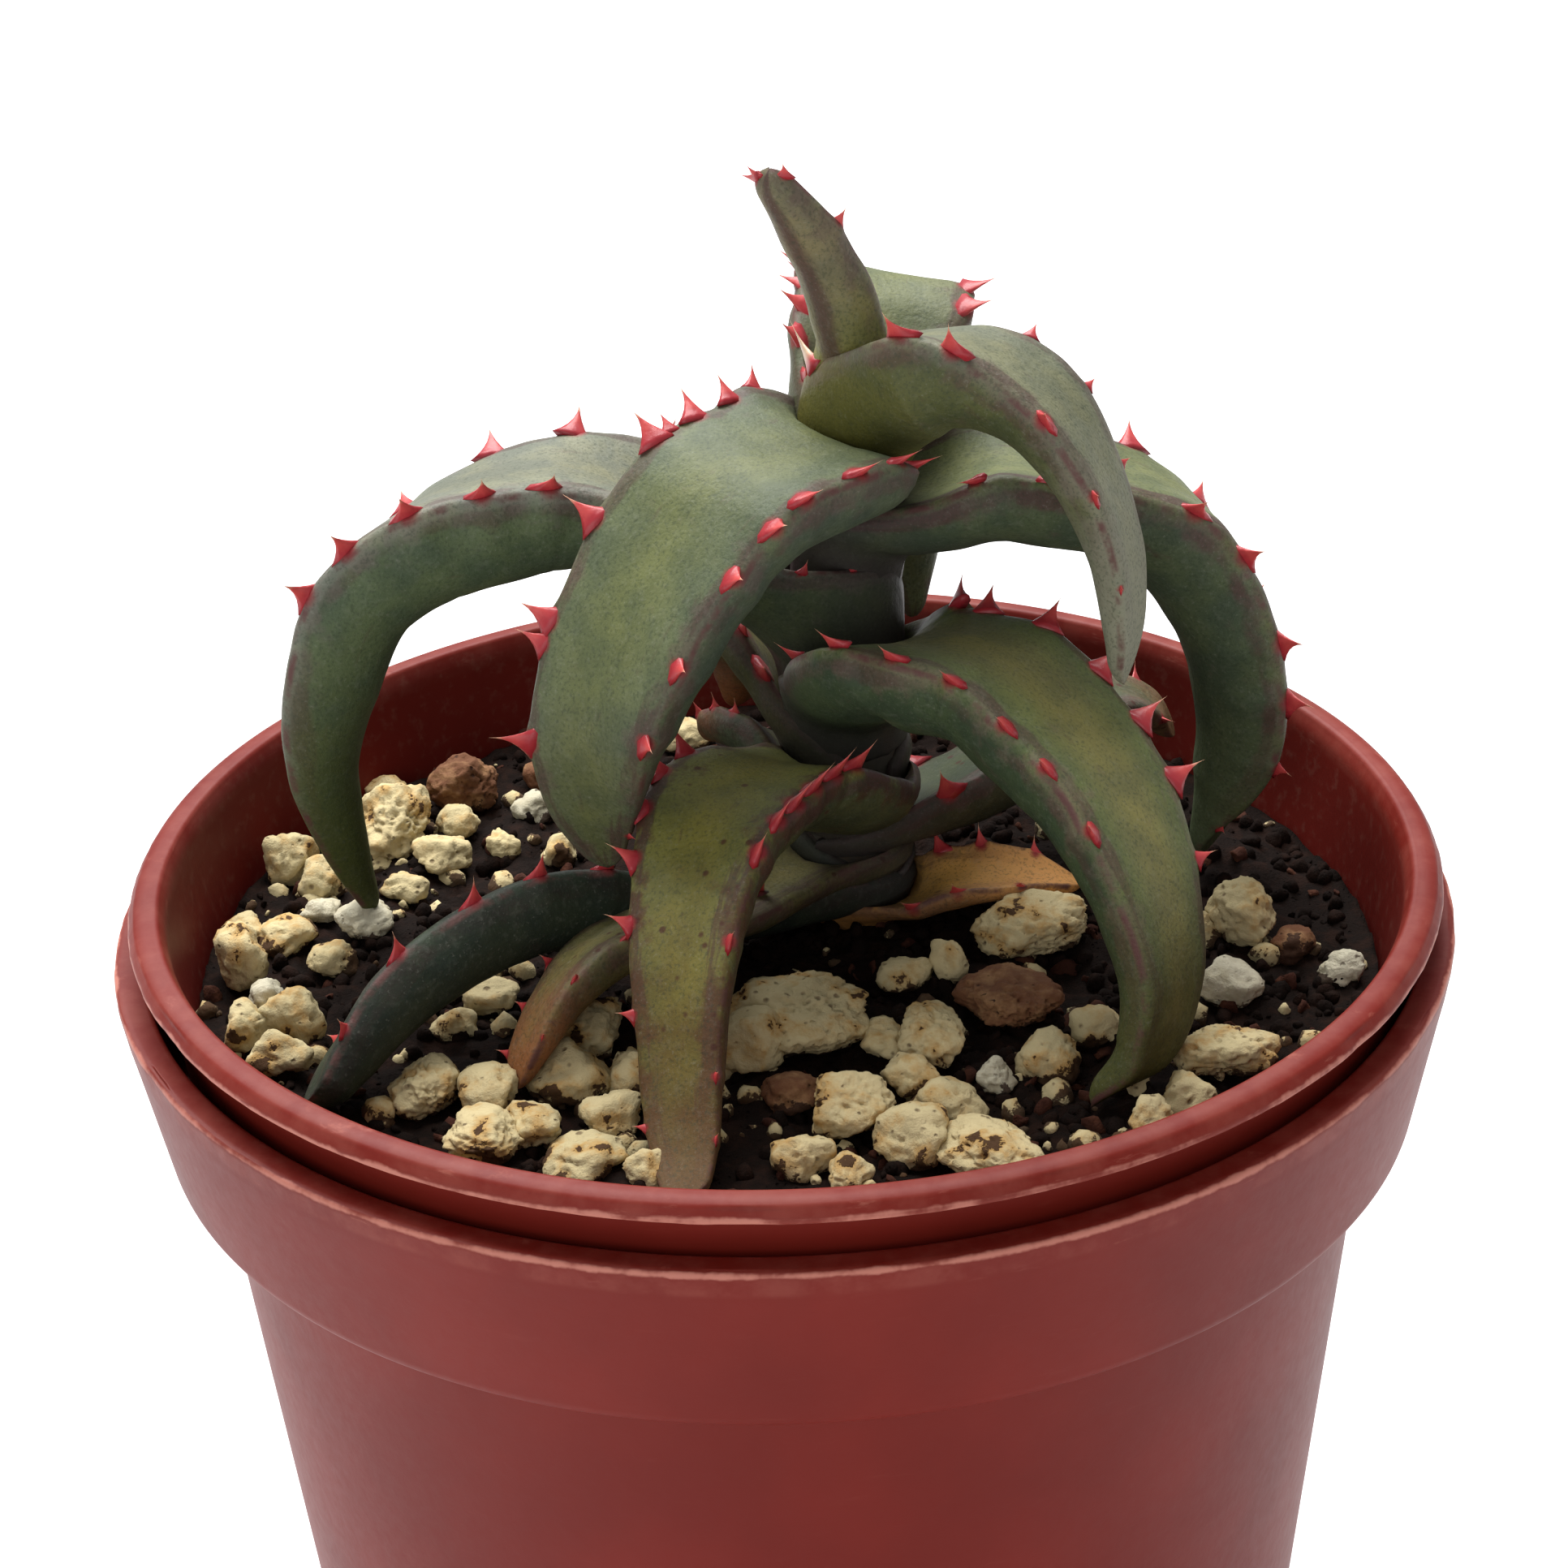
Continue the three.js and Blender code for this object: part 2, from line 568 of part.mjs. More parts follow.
// A flattened thorn whose root is sunk in the leaf margin
function toothSolid(leaf, mark, hand, grow) {
  const [u, share = 1, tilt = leaf.rise ?? TOOTH_RISE, lean = -TOOTH_LEAN] = [mark].flat();
  const { row, along, side, face, at } = leafFrame(leaf, u);
  const size = Math.min(1, Math.max(0.55, row[3] / 10)) * share;
  const channel = radians(Math.max(row[6], 1));
  const bend = channel / row[3];
  const s = (hand * row[3]) / 2;
  const outward = side.clone().multiplyScalar(hand * Math.cos(bend * s));
  outward.addScaledVector(face, Math.sin(bend * Math.abs(s)));
  const margin = at.clone().addScaledVector(side, Math.sin(bend * s) / bend);
  margin.addScaledVector(face, (1 - Math.cos(bend * s)) / bend - EDGE_THICKNESS * 0.5);
  const rise = radians(tilt);
  outward.multiplyScalar(Math.cos(rise)).addScaledVector(face, Math.sin(rise));
  outward.addScaledVector(along, lean).normalize();
  const root = margin.clone().addScaledVector(outward, -TOOTH_SINK);
  const tip = margin.clone().addScaledVector(outward, TOOTH_LENGTH * size + grow * 2);
  const normal = outward.clone().cross(along).normalize();
  const points = [];
  for (let i = 0; i < 3; i += 1) {
    const angle = (i / 3) * 2 * Math.PI;
    const p = root.clone().addScaledVector(along, Math.cos(angle) * (TOOTH_ROOT * size + grow));
    points.push(p.addScaledVector(normal, Math.sin(angle) * (TOOTH_HALF_THICKNESS * size + grow)));
  }
  points.push(tip);
  return solid(points, [[0, 1, 3], [1, 2, 3], [2, 0, 3], [0, 2, 1]]);
}

function leafSolid(leaf, grow) {
  const parts = [bladeSolid(leaf, grow), claspSolid(leaf, grow)];
  for (const [marks, hand] of [[leaf.right, -1], [leaf.left, 1]]) {
    marks.forEach((mark) => parts.push(toothSolid(leaf, mark, hand, grow)));
  }
  return wasm.Manifold.union(parts);
}

// Pots

function potOutside(size) {
  const z = POT_HEIGHT;
  const foot = z - COLLAR_DEPTH;
  return [
    [size.bodyFoot - 0.8, 0],
    [size.bodyFoot, 0.9],
    [size.bodyTop, foot],
    [size.collarFoot - 1.0, foot + 0.1],
    [size.collarFoot, foot + 0.7],
    [size.collarTop, z - RIM_DROP],
    [size.rim, z - RIM_DROP],
    [size.rim, z - 0.3],
    [size.rim - 0.3, z],
  ];
}

function potInside(size) {
  const z = POT_HEIGHT;
  const foot = z - COLLAR_DEPTH;
  const lip = size.rim - RIM_WIDTH;
  return [
    [lip, z],
    [Math.min(lip, size.collarTop - WALL) - 0.2, z - 1.2],
    [size.collarFoot - WALL, foot + 1.8],
    [size.bodyTop - WALL, foot + 1.0],
    [size.bodyFoot - WALL + 0.2, FLOOR],
  ];
}

function potSolid(size, lift, [x, y]) {
  const profile = [...potOutside(size), ...potInside(size)].map(([r, z]) => [r, z + lift]);
  const lugs = LUG_ANGLES.map((angle) => lugSolid(angle, size, lift, [x, y], 0));
  let pot = wasm.Manifold.union([turnedSolid(profile, POT_SIDES, x, y), ...lugs]);
  for (let i = 0; i < DRAIN_COUNT; i += 1) {
    const angle = ((i + 0.5) / DRAIN_COUNT) * 2 * Math.PI;
    const hole = turnedSolid(
      [[DRAIN_RADIUS, lift - 1], [DRAIN_RADIUS, lift + FLOOR + 1]],
      10,
      x + DRAIN_CIRCLE * Math.cos(angle),
      y + DRAIN_CIRCLE * Math.sin(angle),
    );
    pot = pot.subtract(hole);
  }
  return pot;
}

// A block inside the collar that the shoulder of a nested pot rests on
function lugSolid(angle, size, lift, [x, y], grow) {
  const foot = POT_HEIGHT - COLLAR_DEPTH + lift;
  const a = radians(angle);
  const out = new THREE.Vector3(Math.cos(a), Math.sin(a), 0);
  const side = new THREE.Vector3(-Math.sin(a), Math.cos(a), 0);
  const corner = (r, s, z) => new THREE.Vector3(x, y, z).addScaledVector(out, r).addScaledVector(side, s);
  const near = size.bodyTop - LUG_INSET - grow;
  const far = size.collarFoot - 0.4;
  const half = LUG_HALF_WIDTH + grow;
  const ring = (z) => [
    corner(near, -half, z),
    corner(near, half, z),
    corner(far, half, z),
    corner(far, -half, z),
  ];
  return loft([ring(foot + 0.9), ring(foot + INNER_LIFT - GAP + grow)]);
}

// Soil

function soilHeight(x, y) {
  const heap = 0.5 * Math.max(0, -y / 45) + 0.5 * Math.max(0, -x / 45);
  return SOIL_LEVEL + heap + 0.35 * bump(x * 0.22, y * 0.22, 1.3);
}

function soilSolid() {
  const [x, y] = INNER_SHIFT;
  const inside = potInside(INNER).map(([r, z]) => [r - GAP, z + INNER_LIFT]);
  const [, , collar, step, floor] = inside;
  const rings = [
    circle(floor[0], floor[1] + GAP, SOIL_SIDES, x, y),
    circle(step[0], step[1] + GAP, SOIL_SIDES, x, y),
    circle(collar[0], collar[1] + GAP, SOIL_SIDES, x, y),
  ];
  for (let i = 0; i < SOIL_RINGS; i += 1) {
    const radius = (collar[0] + 0.2) * (1 - i / SOIL_RINGS);
    rings.push(circle(radius, 0, SOIL_SIDES, x, y).map((p) => p.setZ(soilHeight(p.x, p.y))));
  }
  let soil = loft(rings).subtract(stemSolid(GAP));
  for (const angle of LUG_ANGLES) {
    soil = soil.subtract(lugSolid(angle, INNER, INNER_LIFT, [x, y], GAP));
  }
  return soil;
}

// Stones

// A rough stone resting just above the soil, with twenty sides, or eight for grit
function stoneSolid([x, y, half, high], seed, grit = false) {
  const random = seeded(seed);
  const form = grit ? new THREE.OctahedronGeometry(1.15, 0) : new THREE.IcosahedronGeometry(1, 0);
  const base = form.getAttribute('position');
  const turn = random() * Math.PI;
  const keys = new Map();
  const points = [];
  const faces = [];
  const depth = half * (0.7 + 0.3 * random());
  for (let i = 0; i < base.count; i += 1) {
    const v = new THREE.Vector3().fromBufferAttribute(base, i);
    const key = v.toArray().map((c) => Math.round(c * 1000)).join();
    if (!keys.has(key)) {
      keys.set(key, points.length);
      const rough = 0.86 + 0.28 * random();
      const p = v.clone().applyAxisAngle(new THREE.Vector3(0.3, 0.2, 0.9).normalize(), turn);
      p.multiplyScalar(rough);
      points.push(new THREE.Vector3(x + p.x * half, y + p.y * depth, p.z * high));
    }
    if (i % 3 === 0) {
      faces.push([]);
    }
    faces[faces.length - 1].push(keys.get(key));
  }
  const low = Math.min(...points.map((p) => p.z - soilHeight(p.x, p.y)));
  points.forEach((p) => p.setZ(p.z - low + STONE_GAP));
  return solid(points, faces);
}

// Stones of one kind, joined through small grit until each heap holds together
function heaps(rows, seed, obstacles) {
  const stone = (row, number, heap, small) => {
    const shape = clearOf(stoneSolid(row, seed + number * 7, small), obstacles);
    return { row, heap, shape };
  };
  const stones = rows.map((row, i) => stone(row, i, i, false));
  const pairs = [];
  for (let i = 0; i < stones.length; i += 1) {
    for (let j = 0; j < i; j += 1) {
      const a = stones[i].row;
      const b = stones[j].row;
      pairs.push([Math.hypot(a[0] - b[0], a[1] - b[1]), i, j]);
    }
  }
  pairs.sort((p, q) => p[0] - q[0]);
  const grit = [];
  for (const [distance, i, j] of pairs) {
    if (distance < LINK_LIMIT && stones[i].heap !== stones[j].heap) {
      const a = stones[i].row;
      const b = stones[j].row;
      const steps = Math.max(2, Math.ceil(distance / GRIT_SPACING));
      const from = stones[i].heap;
      const to = stones[j].heap;
      for (let k = 1; k < steps; k += 1) {
        const t = k / steps;
        const x = a[0] + (b[0] - a[0]) * t;
        const y = a[1] + (b[1] - a[1]) * t;
        grit.push(stone([x, y, GRIT_RADIUS, 0.95], 200 + grit.length, to, true));
      }
      for (const piece of [...stones, ...grit]) {
        if (piece.heap === from) {
          piece.heap = to;
        }
      }
    }
  }
  const names = [...new Set(stones.map((piece) => piece.heap))];
  return names.map((heap) => {
    const parts = [...stones, ...grit].filter((piece) => piece.heap === heap);
    return wasm.Manifold.union(parts.map((piece) => piece.shape));
  });
}

// Assembly

const group = new THREE.Group();
group.name = 'potted_aloe_hybrid';

function addNode(name, shape, finish) {
  const mesh = shape.getMesh();
  const geometry = new THREE.BufferGeometry();
  geometry.setAttribute('position', new THREE.BufferAttribute(Float32Array.from(mesh.vertProperties), 3));
  geometry.setIndex(new THREE.BufferAttribute(Uint32Array.from(mesh.triVerts), 1));
  geometry.computeVertexNormals();
  const material = new THREE.MeshStandardMaterial(FINISH[finish]);
  const node = new THREE.Mesh(geometry, material);
  node.name = name;
  group.add(node);
}

addNode('outer_pot', potSolid(OUTER, 0, [0, 0]), 'plastic');
addNode('inner_pot', potSolid(INNER, INNER_LIFT, INNER_SHIFT), 'plastic');
const soil = soilSolid();
addNode('soil', soil, 'soil');
addNode('stem', stemSolid(0), 'stem');

const OLD_LEAVES = ['leaf_right_small', 'leaf_front_left_small', 'leaf_back_left'];
const stemClearance = stemSolid(GAP);
const obstacles = [];
for (const [name, leaf] of Object.entries(LEAVES)) {
  const shape = clearOf(leafSolid(leaf, 0).subtract(stemClearance), obstacles);
  addNode(name, largestBody(shape), OLD_LEAVES.includes(name) ? 'leaf_old' : 'leaf');
  const grown = leafSolid(leaf, GAP);
  obstacles.push({ shape: grown, box: grown.boundingBox() });
}

let seed = 11;
for (const [kind, rows] of Object.entries(STONES)) {
  const bodies = heaps(rows, seed, obstacles).map(largestBody);
  bodies.forEach((body, i) => addNode(`${kind}_${i + 1}`, body, kind));
  for (const [x, y, half, high] of rows) {
    const grown = stoneSolid([x, y, half + GAP, high + GAP], 1);
    obstacles.push({ shape: grown, box: grown.boundingBox() });
  }
  bodies.forEach((body) => obstacles.push({ shape: body, box: body.boundingBox() }));
  seed += 500;
}

export default group;
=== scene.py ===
# %% [markdown]
# # A potted aloe hybrid, dressed for rendering
# The frame that this lesson loads holds the plain solids of two nested nursery pots, a filling of
# soil and gravel, a short stem and fourteen toothed leaves. Each of them could be smoothed with a
# subdivision modifier, but thin leaf margins and thorn points melt away under one. So every piece is
# made again at a fine grain from the same few sizes as its solid, and takes that solid's place.

# %% Load the frame
import math

import bmesh
import bpy
import numpy as np
from mathutils import Matrix, Vector, noise


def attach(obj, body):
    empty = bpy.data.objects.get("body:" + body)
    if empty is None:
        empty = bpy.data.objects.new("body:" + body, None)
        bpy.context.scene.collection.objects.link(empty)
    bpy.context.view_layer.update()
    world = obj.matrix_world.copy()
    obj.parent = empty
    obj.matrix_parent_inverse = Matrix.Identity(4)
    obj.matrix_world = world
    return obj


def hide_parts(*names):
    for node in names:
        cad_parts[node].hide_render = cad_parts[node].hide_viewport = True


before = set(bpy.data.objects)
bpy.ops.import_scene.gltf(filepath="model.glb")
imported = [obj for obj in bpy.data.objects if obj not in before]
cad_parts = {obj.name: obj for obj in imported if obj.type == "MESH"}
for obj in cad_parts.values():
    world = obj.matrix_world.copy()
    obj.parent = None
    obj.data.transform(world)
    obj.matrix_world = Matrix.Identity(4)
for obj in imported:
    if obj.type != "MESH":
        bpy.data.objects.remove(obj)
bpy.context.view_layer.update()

MM = 0.001


def linked(name, data):
    """A new object in the scene."""
    made = bpy.data.objects.new(name, data)
    bpy.context.collection.objects.link(made)
    return made


print("nodes in the frame:", len(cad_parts))

# %% [markdown]
# ## Camera
# The picture was taken from a little above the pot's rim with a long lens, so the rims show as wide
# ovals. A camera could be aimed with a Track To constraint, but three small angles and a place say
# the same thing in plain numbers: how far it turns, how far it looks down and how much it leans.

# %% Set the camera
PICTURE_SIDE = 1932
FOCAL_LENGTH = 5135.0
SENSOR = 36.0
NEAREST_SEEN = 0.01
CAMERA_PLACE = Vector((0.0, -294.5, 249.65)) * MM
CAMERA_TURN = 0.0015
CAMERA_DIP = 0.468
CAMERA_LEAN = -0.0385


def camera_axes():
    """Right, up and forward directions of the leaning camera."""
    sin_turn, cos_turn = math.sin(CAMERA_TURN), math.cos(CAMERA_TURN)
    sin_dip, cos_dip = math.sin(CAMERA_DIP), math.cos(CAMERA_DIP)
    forward = Vector((sin_turn * cos_dip, cos_turn * cos_dip, -sin_dip))
    level = Vector((cos_turn, -sin_turn, 0.0))
    upright = level.cross(forward)
    right = level * math.cos(CAMERA_LEAN) + upright * math.sin(CAMERA_LEAN)
    up = upright * math.cos(CAMERA_LEAN) - level * math.sin(CAMERA_LEAN)
    return right, up, forward


lens = bpy.data.cameras.new("studio_camera")
lens.sensor_width = SENSOR
lens.lens = FOCAL_LENGTH / PICTURE_SIDE * SENSOR
lens.clip_start = NEAREST_SEEN
camera = linked("studio_camera", lens)
right, up, forward = camera_axes()
turn = Matrix((right, up, -forward)).transposed().to_4x4()
camera.matrix_world = Matrix.Translation(CAMERA_PLACE) @ turn
bpy.context.scene.camera = camera
print("lens, mm:", round(lens.lens, 1))

# %% [markdown]
# ## Light
# The plant stood in a white light tent. A tent could be built from glowing walls, but a white world
# with two large soft lamps gives the same even light and soft shadows with much less to trace. The
# plain view transform keeps the pale floor white and the pot's red clean.

# %% Set the light
LAMPS = {
    "front_light": {"place": (-0.45, -1.0, 0.4), "side": 0.8, "watts": 4.0},
    "top_light": {"place": (-0.15, 0.5, 0.95), "side": 0.9, "watts": 25.0},
}
LAMP_AIM = Vector((0.0, 0.0, 0.1))
WORLD_WHITE = (0.97, 0.985, 1.0, 1.0)
WORLD_STRENGTH = 0.42

world = bpy.data.worlds.new("white_tent")
world.use_nodes = True
world.node_tree.nodes["Background"].inputs["Color"].default_value = WORLD_WHITE
world.node_tree.nodes["Background"].inputs["Strength"].default_value = WORLD_STRENGTH
bpy.context.scene.world = world
bpy.context.scene.view_settings.view_transform = "Standard"

for name, lamp in LAMPS.items():
    light = bpy.data.lights.new(name, "AREA")
    light.size = lamp["side"]
    light.energy = lamp["watts"]
    holder = linked(name, light)
    holder.location = lamp["place"]
    holder.rotation_euler = (LAMP_AIM - holder.location).to_track_quat("-Z", "Y").to_euler()
print("lamps:", ", ".join(LAMPS))

# %% [markdown]
# ## Helpers for nodes
# Node trees can be wired by hand in the editor, or in code. In code a small class keeps them short:
# a signal is a socket that knows its tree, and plain arithmetic on it adds the node that works the
# result out. A few functions mix colours, fade values and read what a piece carries on its points.

# %% Add nodes in code


class Signal:
    """A value on its way through a node tree. Arithmetic on it adds a node."""

    def __init__(self, tree, socket):
        self.tree = tree
        self.socket = socket

    def __add__(self, other):
        return maths("ADD", self, other)

    def __sub__(self, other):
        return maths("SUBTRACT", self, other)

    def __mul__(self, other):
        return maths("MULTIPLY", self, other)

    def __abs__(self):
        return maths("ABSOLUTE", self)


def linear(red, green, blue):
    """A colour as read off a screen, 0 to 255, as the linear values that a shader needs."""
    def channel(value):
        value = value / 255
        return value / 12.92 if value <= 0.04045 else ((value + 0.055) / 1.055) ** 2.4
    return (channel(red), channel(green), channel(blue), 1.0)


def feed(tree, node, inputs):
    """Gives a node its inputs: plain values, sockets or signals."""
    for name, value in inputs.items():
        value = value.socket if isinstance(value, Signal) else value
        if isinstance(value, bpy.types.NodeSocket):
            tree.links.new(value, node.inputs[name])
        else:
            node.inputs[name].default_value = value


def add(tree, kind, inputs=None, **settings):
    """A new node in the tree, with its settings and inputs."""
    made = tree.nodes.new(kind)
    for name, value in settings.items():
        setattr(made, name, value)
    feed(tree, made, inputs or {})
    return made


def source(tree, kind, output=0, inputs=None, **settings):
    """The signal from a new node that needs no other signal."""
    return Signal(tree, add(tree, kind, inputs, **settings).outputs[output])


def work(kind, inputs, output=0, **settings):
    """What a new node makes of the signals among its inputs, in the tree that they belong to."""
    tree = next(value.tree for value in inputs.values() if isinstance(value, Signal))
    return source(tree, kind, output, inputs, **settings)


def maths(way, first, second=0.0):
    """One step of arithmetic on two values."""
    return work("ShaderNodeMath", {0: first, 1: second}, operation=way)


def mix(factor, first, second, way="MIX"):
    """The first colour where the factor is 0 and the second where it is 1."""
    return work("ShaderNodeMix", {0: factor, 6: first, 7: second}, 2,
                data_type="RGBA", blend_type=way)


def fade(value, start, end):
    """A soft step from 0 at start to 1 at end."""
    places = {"Value": value, "From Min": start, "From Max": end}
    return work("ShaderNodeMapRange", places, interpolation_type="SMOOTHSTEP")


def grain(vector, scale, detail=2.0, roughness=0.5):
    """Soft random grain, about 0.3 to 0.7, with so many waves to a metre."""
    places = {"Vector": vector, "Scale": scale, "Detail": detail, "Roughness": roughness}
    return work("ShaderNodeTexNoise", places)


def from_surface(tree, name):
    """A value that the piece carries on its own points."""
    return source(tree, "ShaderNodeAttribute", "Fac", attribute_name=name)


def object_place(tree):
    """Where a point of the piece is, in metres."""
    return source(tree, "ShaderNodeTexCoord", "Object")


print("node helpers ready")

# %% Make skins and materials


def new_tree(name, kind, inputs, outputs):
    """An empty node tree with named sockets, and the signals that come into it."""
    tree = bpy.data.node_groups.new(name, kind)
    for way, sockets in (("INPUT", inputs), ("OUTPUT", outputs)):
        for label, socket in sockets.items():
            tree.interface.new_socket(label, in_out=way, socket_type="NodeSocket" + socket)
    return tree, {s.name: Signal(tree, s) for s in add(tree, "NodeGroupInput").outputs}


def new_skin(name, colours, numbers=()):
    """An empty shader group with inputs for colours and numbers. A number starts at 0."""
    inputs = {**dict.fromkeys(colours, "Color"), **dict.fromkeys(numbers, "Float")}
    outputs = {"Color": "Color", "Roughness": "Float", "Height": "Float"}
    return new_tree(name, "ShaderNodeTree", inputs, outputs)


def give(colour, roughness, height):
    """Sends a skin's three results out of its group."""
    results = {"Color": colour, "Roughness": roughness, "Height": height}
    add(colour.tree, "NodeGroupOutput", results)


def new_material(name, skin, values, bump, gloss):
    """A material that takes all from a skin. A colour of three numbers is as read off a screen."""
    values = {label: linear(*value) if isinstance(value, tuple) and len(value) == 3 else value
              for label, value in values.items()}
    material = bpy.data.materials.new(name)
    material.use_nodes = True
    tree = material.node_tree
    effect = add(tree, "ShaderNodeGroup", values, node_tree=skin).outputs
    relief = add(tree, "ShaderNodeBump",
                 {"Height": effect["Height"], "Distance": bump, "Strength": 1.0})
    feed(tree, tree.nodes["Principled BSDF"],
         {"Base Color": effect["Color"], "Roughness": effect["Roughness"],
          "Normal": relief.outputs["Normal"], "Specular IOR Level": gloss})
    return material


print("material helpers ready")

# %% [markdown]
# ## Floor
# A sheet of white board lies under the pot. It belongs to the studio and not to the plant. Its faint
# mottling keeps it from looking like a cut-out.

# %% Lay the floor
FLOOR_HALF = 2.5
BOARD_WHITE = (0.9, 0.9, 0.9, 1.0)
BOARD_SHADE = (0.84, 0.84, 0.85, 1.0)

board_skin, given = new_skin("board_mottle", ["Tone"])
soft = grain(object_place(board_skin), 3.0)
give(mix(fade(soft, 0.3, 0.7), given["Tone"], BOARD_SHADE), soft + 0.3, soft)

board = bpy.data.meshes.new("white_board")
corners = [(-1, -1), (1, -1), (1, 1), (-1, 1)]
board.from_pydata([(x * FLOOR_HALF, y * FLOOR_HALF, 0.0) for x, y in corners], [], [(0, 1, 2, 3)])
board.materials.append(new_material("white_board", board_skin, {"Tone": BOARD_WHITE}, 0.00002, 0.2))
floor = linked("white_board", board)
print("floor side, m:", FLOOR_HALF * 2)

# %% [markdown]
# ## Helpers for pieces
# A finished piece is a plain mesh at the origin that rides on the part's one body, takes its
# material and hides the solids that it stands for. One helper does that for all of them.

# %% Turn points and faces into a piece


def shaped(name, points, faces, values=None):
    """A smooth-shaded mesh from points in millimetres, with named values on its points."""
    mesh = bpy.data.meshes.new(name)
    mesh.from_pydata((np.asarray(points) * MM).tolist(), [], faces)
    for label, column in (values or {}).items():
        layer = mesh.attributes.new(label, "FLOAT", "POINT")
        layer.data.foreach_set("value", np.asarray(column, dtype=np.float32))
    mesh.shade_smooth()
    return mesh


def place(name, mesh, nodes=(), material=None):
    """The mesh as a finished piece of the object."""
    piece = linked(name, mesh)
    if material is not None:
        mesh.materials.clear()
        mesh.materials.append(material)
    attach(piece, "root")
    if nodes:
        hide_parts(*nodes)
    return piece


def baked(piece):
    """What the piece's modifiers make of it, as a plain mesh. The piece itself is removed."""
    depsgraph = bpy.context.evaluated_depsgraph_get()
    mesh = bpy.data.meshes.new_from_object(piece.evaluated_get(depsgraph))
    bpy.data.objects.remove(piece)
    return mesh


def spokes(count):
    """The cosine and sine of so many even steps round a circle."""
    turns = [2 * math.pi * i / count for i in range(count)]
    return [(math.cos(turn), math.sin(turn)) for turn in turns]


def ring_faces(rings, count):
    """Faces that join so many closed rings of so many points."""
    faces = []
    for a in range(0, (rings - 1) * count, count):
        for i in range(count):
            j = (i + 1) % count
            faces.append((a + i, a + j, a + count + j, a + count + i))
    return faces


def fan(tip, ring):
    """Triangles from a tip to a closed ring of points."""
    return [(tip, ring[i - 1], ring[i]) for i in range(1, len(ring))] + [(tip, ring[-1], ring[0])]


def turned_over(faces):
    """The same faces seen from their other side."""
    return [face[:1] + face[:0:-1] for face in faces]


def smooth_step(value):
    """0 below 0, 1 above 1 and an S curve between."""
    value = np.clip(value, 0.0, 1.0)
    return value * value * (3 - 2 * value)


def unit(vectors):
    """Each vector at length 1."""
    return vectors / np.linalg.norm(vectors, axis=-1, keepdims=True)


def triangles(mesh):
    """How many triangles a mesh has."""
    return sum(len(face.vertices) - 2 for face in mesh.polygons)


print("pieces ready")

# %% [markdown]
# ## Moulded plastic
# Both pots are thin red-brown polypropylene. The colour is even but not flat: it is a little paler
# where the plastic is rubbed along the rim, darker on the inner face, where shade is painted in,
# and dusty there, and crossed by fine scuffs. The masks could be painted by hand. Here they come
# from the height and the distance to the axis, because a turned pot wears in rings.

# %% Make the plastic
RIM_RUB = linear(168, 100, 86)
RIM_LINE = linear(196, 128, 112)
DUST = linear(150, 122, 105)
CLOUDED = (0.8, 0.78, 0.78, 1.0)
# painted shade: the near-black that the pot's inner face is darkened towards, where its own wall
# shades it
INSIDE_PAINTED_SHADE = (0.03, 0.004, 0.004, 1.0)

plastic_skin, given = new_skin("moulded_plastic", ["Body"],
                               ["Rim height", "Rim radius", "Line drop", "Inside dust"])
spot = object_place(plastic_skin)
flat = work("ShaderNodeVectorMath", {0: spot, 1: (1.0, 1.0, 0.0)}, operation="MULTIPLY")
radius = work("ShaderNodeVectorMath", {0: flat}, "Value", operation="LENGTH")
height = work("ShaderNodeSeparateXYZ", {"Vector": spot}, "Z")
stretched = work("ShaderNodeMapping", {"Vector": spot, "Scale": (0.35, 0.35, 2.2)})
cloud = grain(spot, 60.0, 3.0)
fleck_wide = grain(spot, 260.0, 4.0, 0.65)
fleck = grain(spot, 900.0, 3.0, 0.6)

below_rim = given["Rim height"] - height
near_top = fade(below_rim, 0.0024, 0.0018)
off_edge = abs(radius - given["Rim radius"])
off_line = maths("MAXIMUM", abs(below_rim - given["Line drop"]), off_edge) + fleck_wide * 0.001
edge_line = fade(off_line, 0.0009, 0.0006)
scuff = fade(grain(stretched, 520.0, 5.0, 0.7), 0.6, 0.74) * (near_top * 0.4 + 0.04)
# the inner face, which takes both painted shade and real dust
inside = fade(given["Rim radius"] - radius, 0.0028, 0.0034)
inside = inside * from_surface(plastic_skin, "inner_face")

face = mix(fade(cloud, 0.25, 0.75), given["Body"], CLOUDED, "MULTIPLY")
face = mix(near_top * fade(fleck_wide, 0.35, 0.7) * 0.16, face, RIM_RUB)
face = mix(edge_line * 0.75, face, RIM_LINE)
face = mix(scuff, face, RIM_RUB)
# painted shade darkens the inner face
face = mix(inside * 0.34, face, INSIDE_PAINTED_SHADE)
face = mix(inside * fade(fleck, 0.5, 0.75) * given["Inside dust"], face, DUST)
give(face, fleck * 0.14 + 0.42 + scuff * 0.14, fleck + cloud)
print("plastic group nodes:", len(plastic_skin.nodes))

# %% [markdown]
# ## The two pots
# A nursery pot is a thin cup with a flat rim, a straight collar that stiffens it and a shoulder
# where the collar meets the tapered body. The inner pot stands in the outer one on four small lugs
# inside the collar. A pot can be spun from half an outline with the Screw modifier. Here the outline
# is turned in code, so that the moulding flash along the rim can be made slightly uneven.

# %% Draw half a pot
POT_HEIGHT = 90
RIM_WIDTH = 2.6
RIM_DROP = 1.6
COLLAR_DEPTH = 15.4
WALL = 1.0
FLOOR_THICKNESS = 1.4
FLOOR_MIDDLE = 12.0
OUTER = {"rim": 53.5, "collar_top": 52.9, "collar_foot": 50.6, "body_top": 47.0, "body_foot": 38.6}
INNER = {"rim": 52.2, "collar_top": 50.3, "collar_foot": 48.2, "body_top": 45.4, "body_foot": 37.0}
INNER_LIFT = 4.9
INNER_SHIFT = (0.2, -0.4)


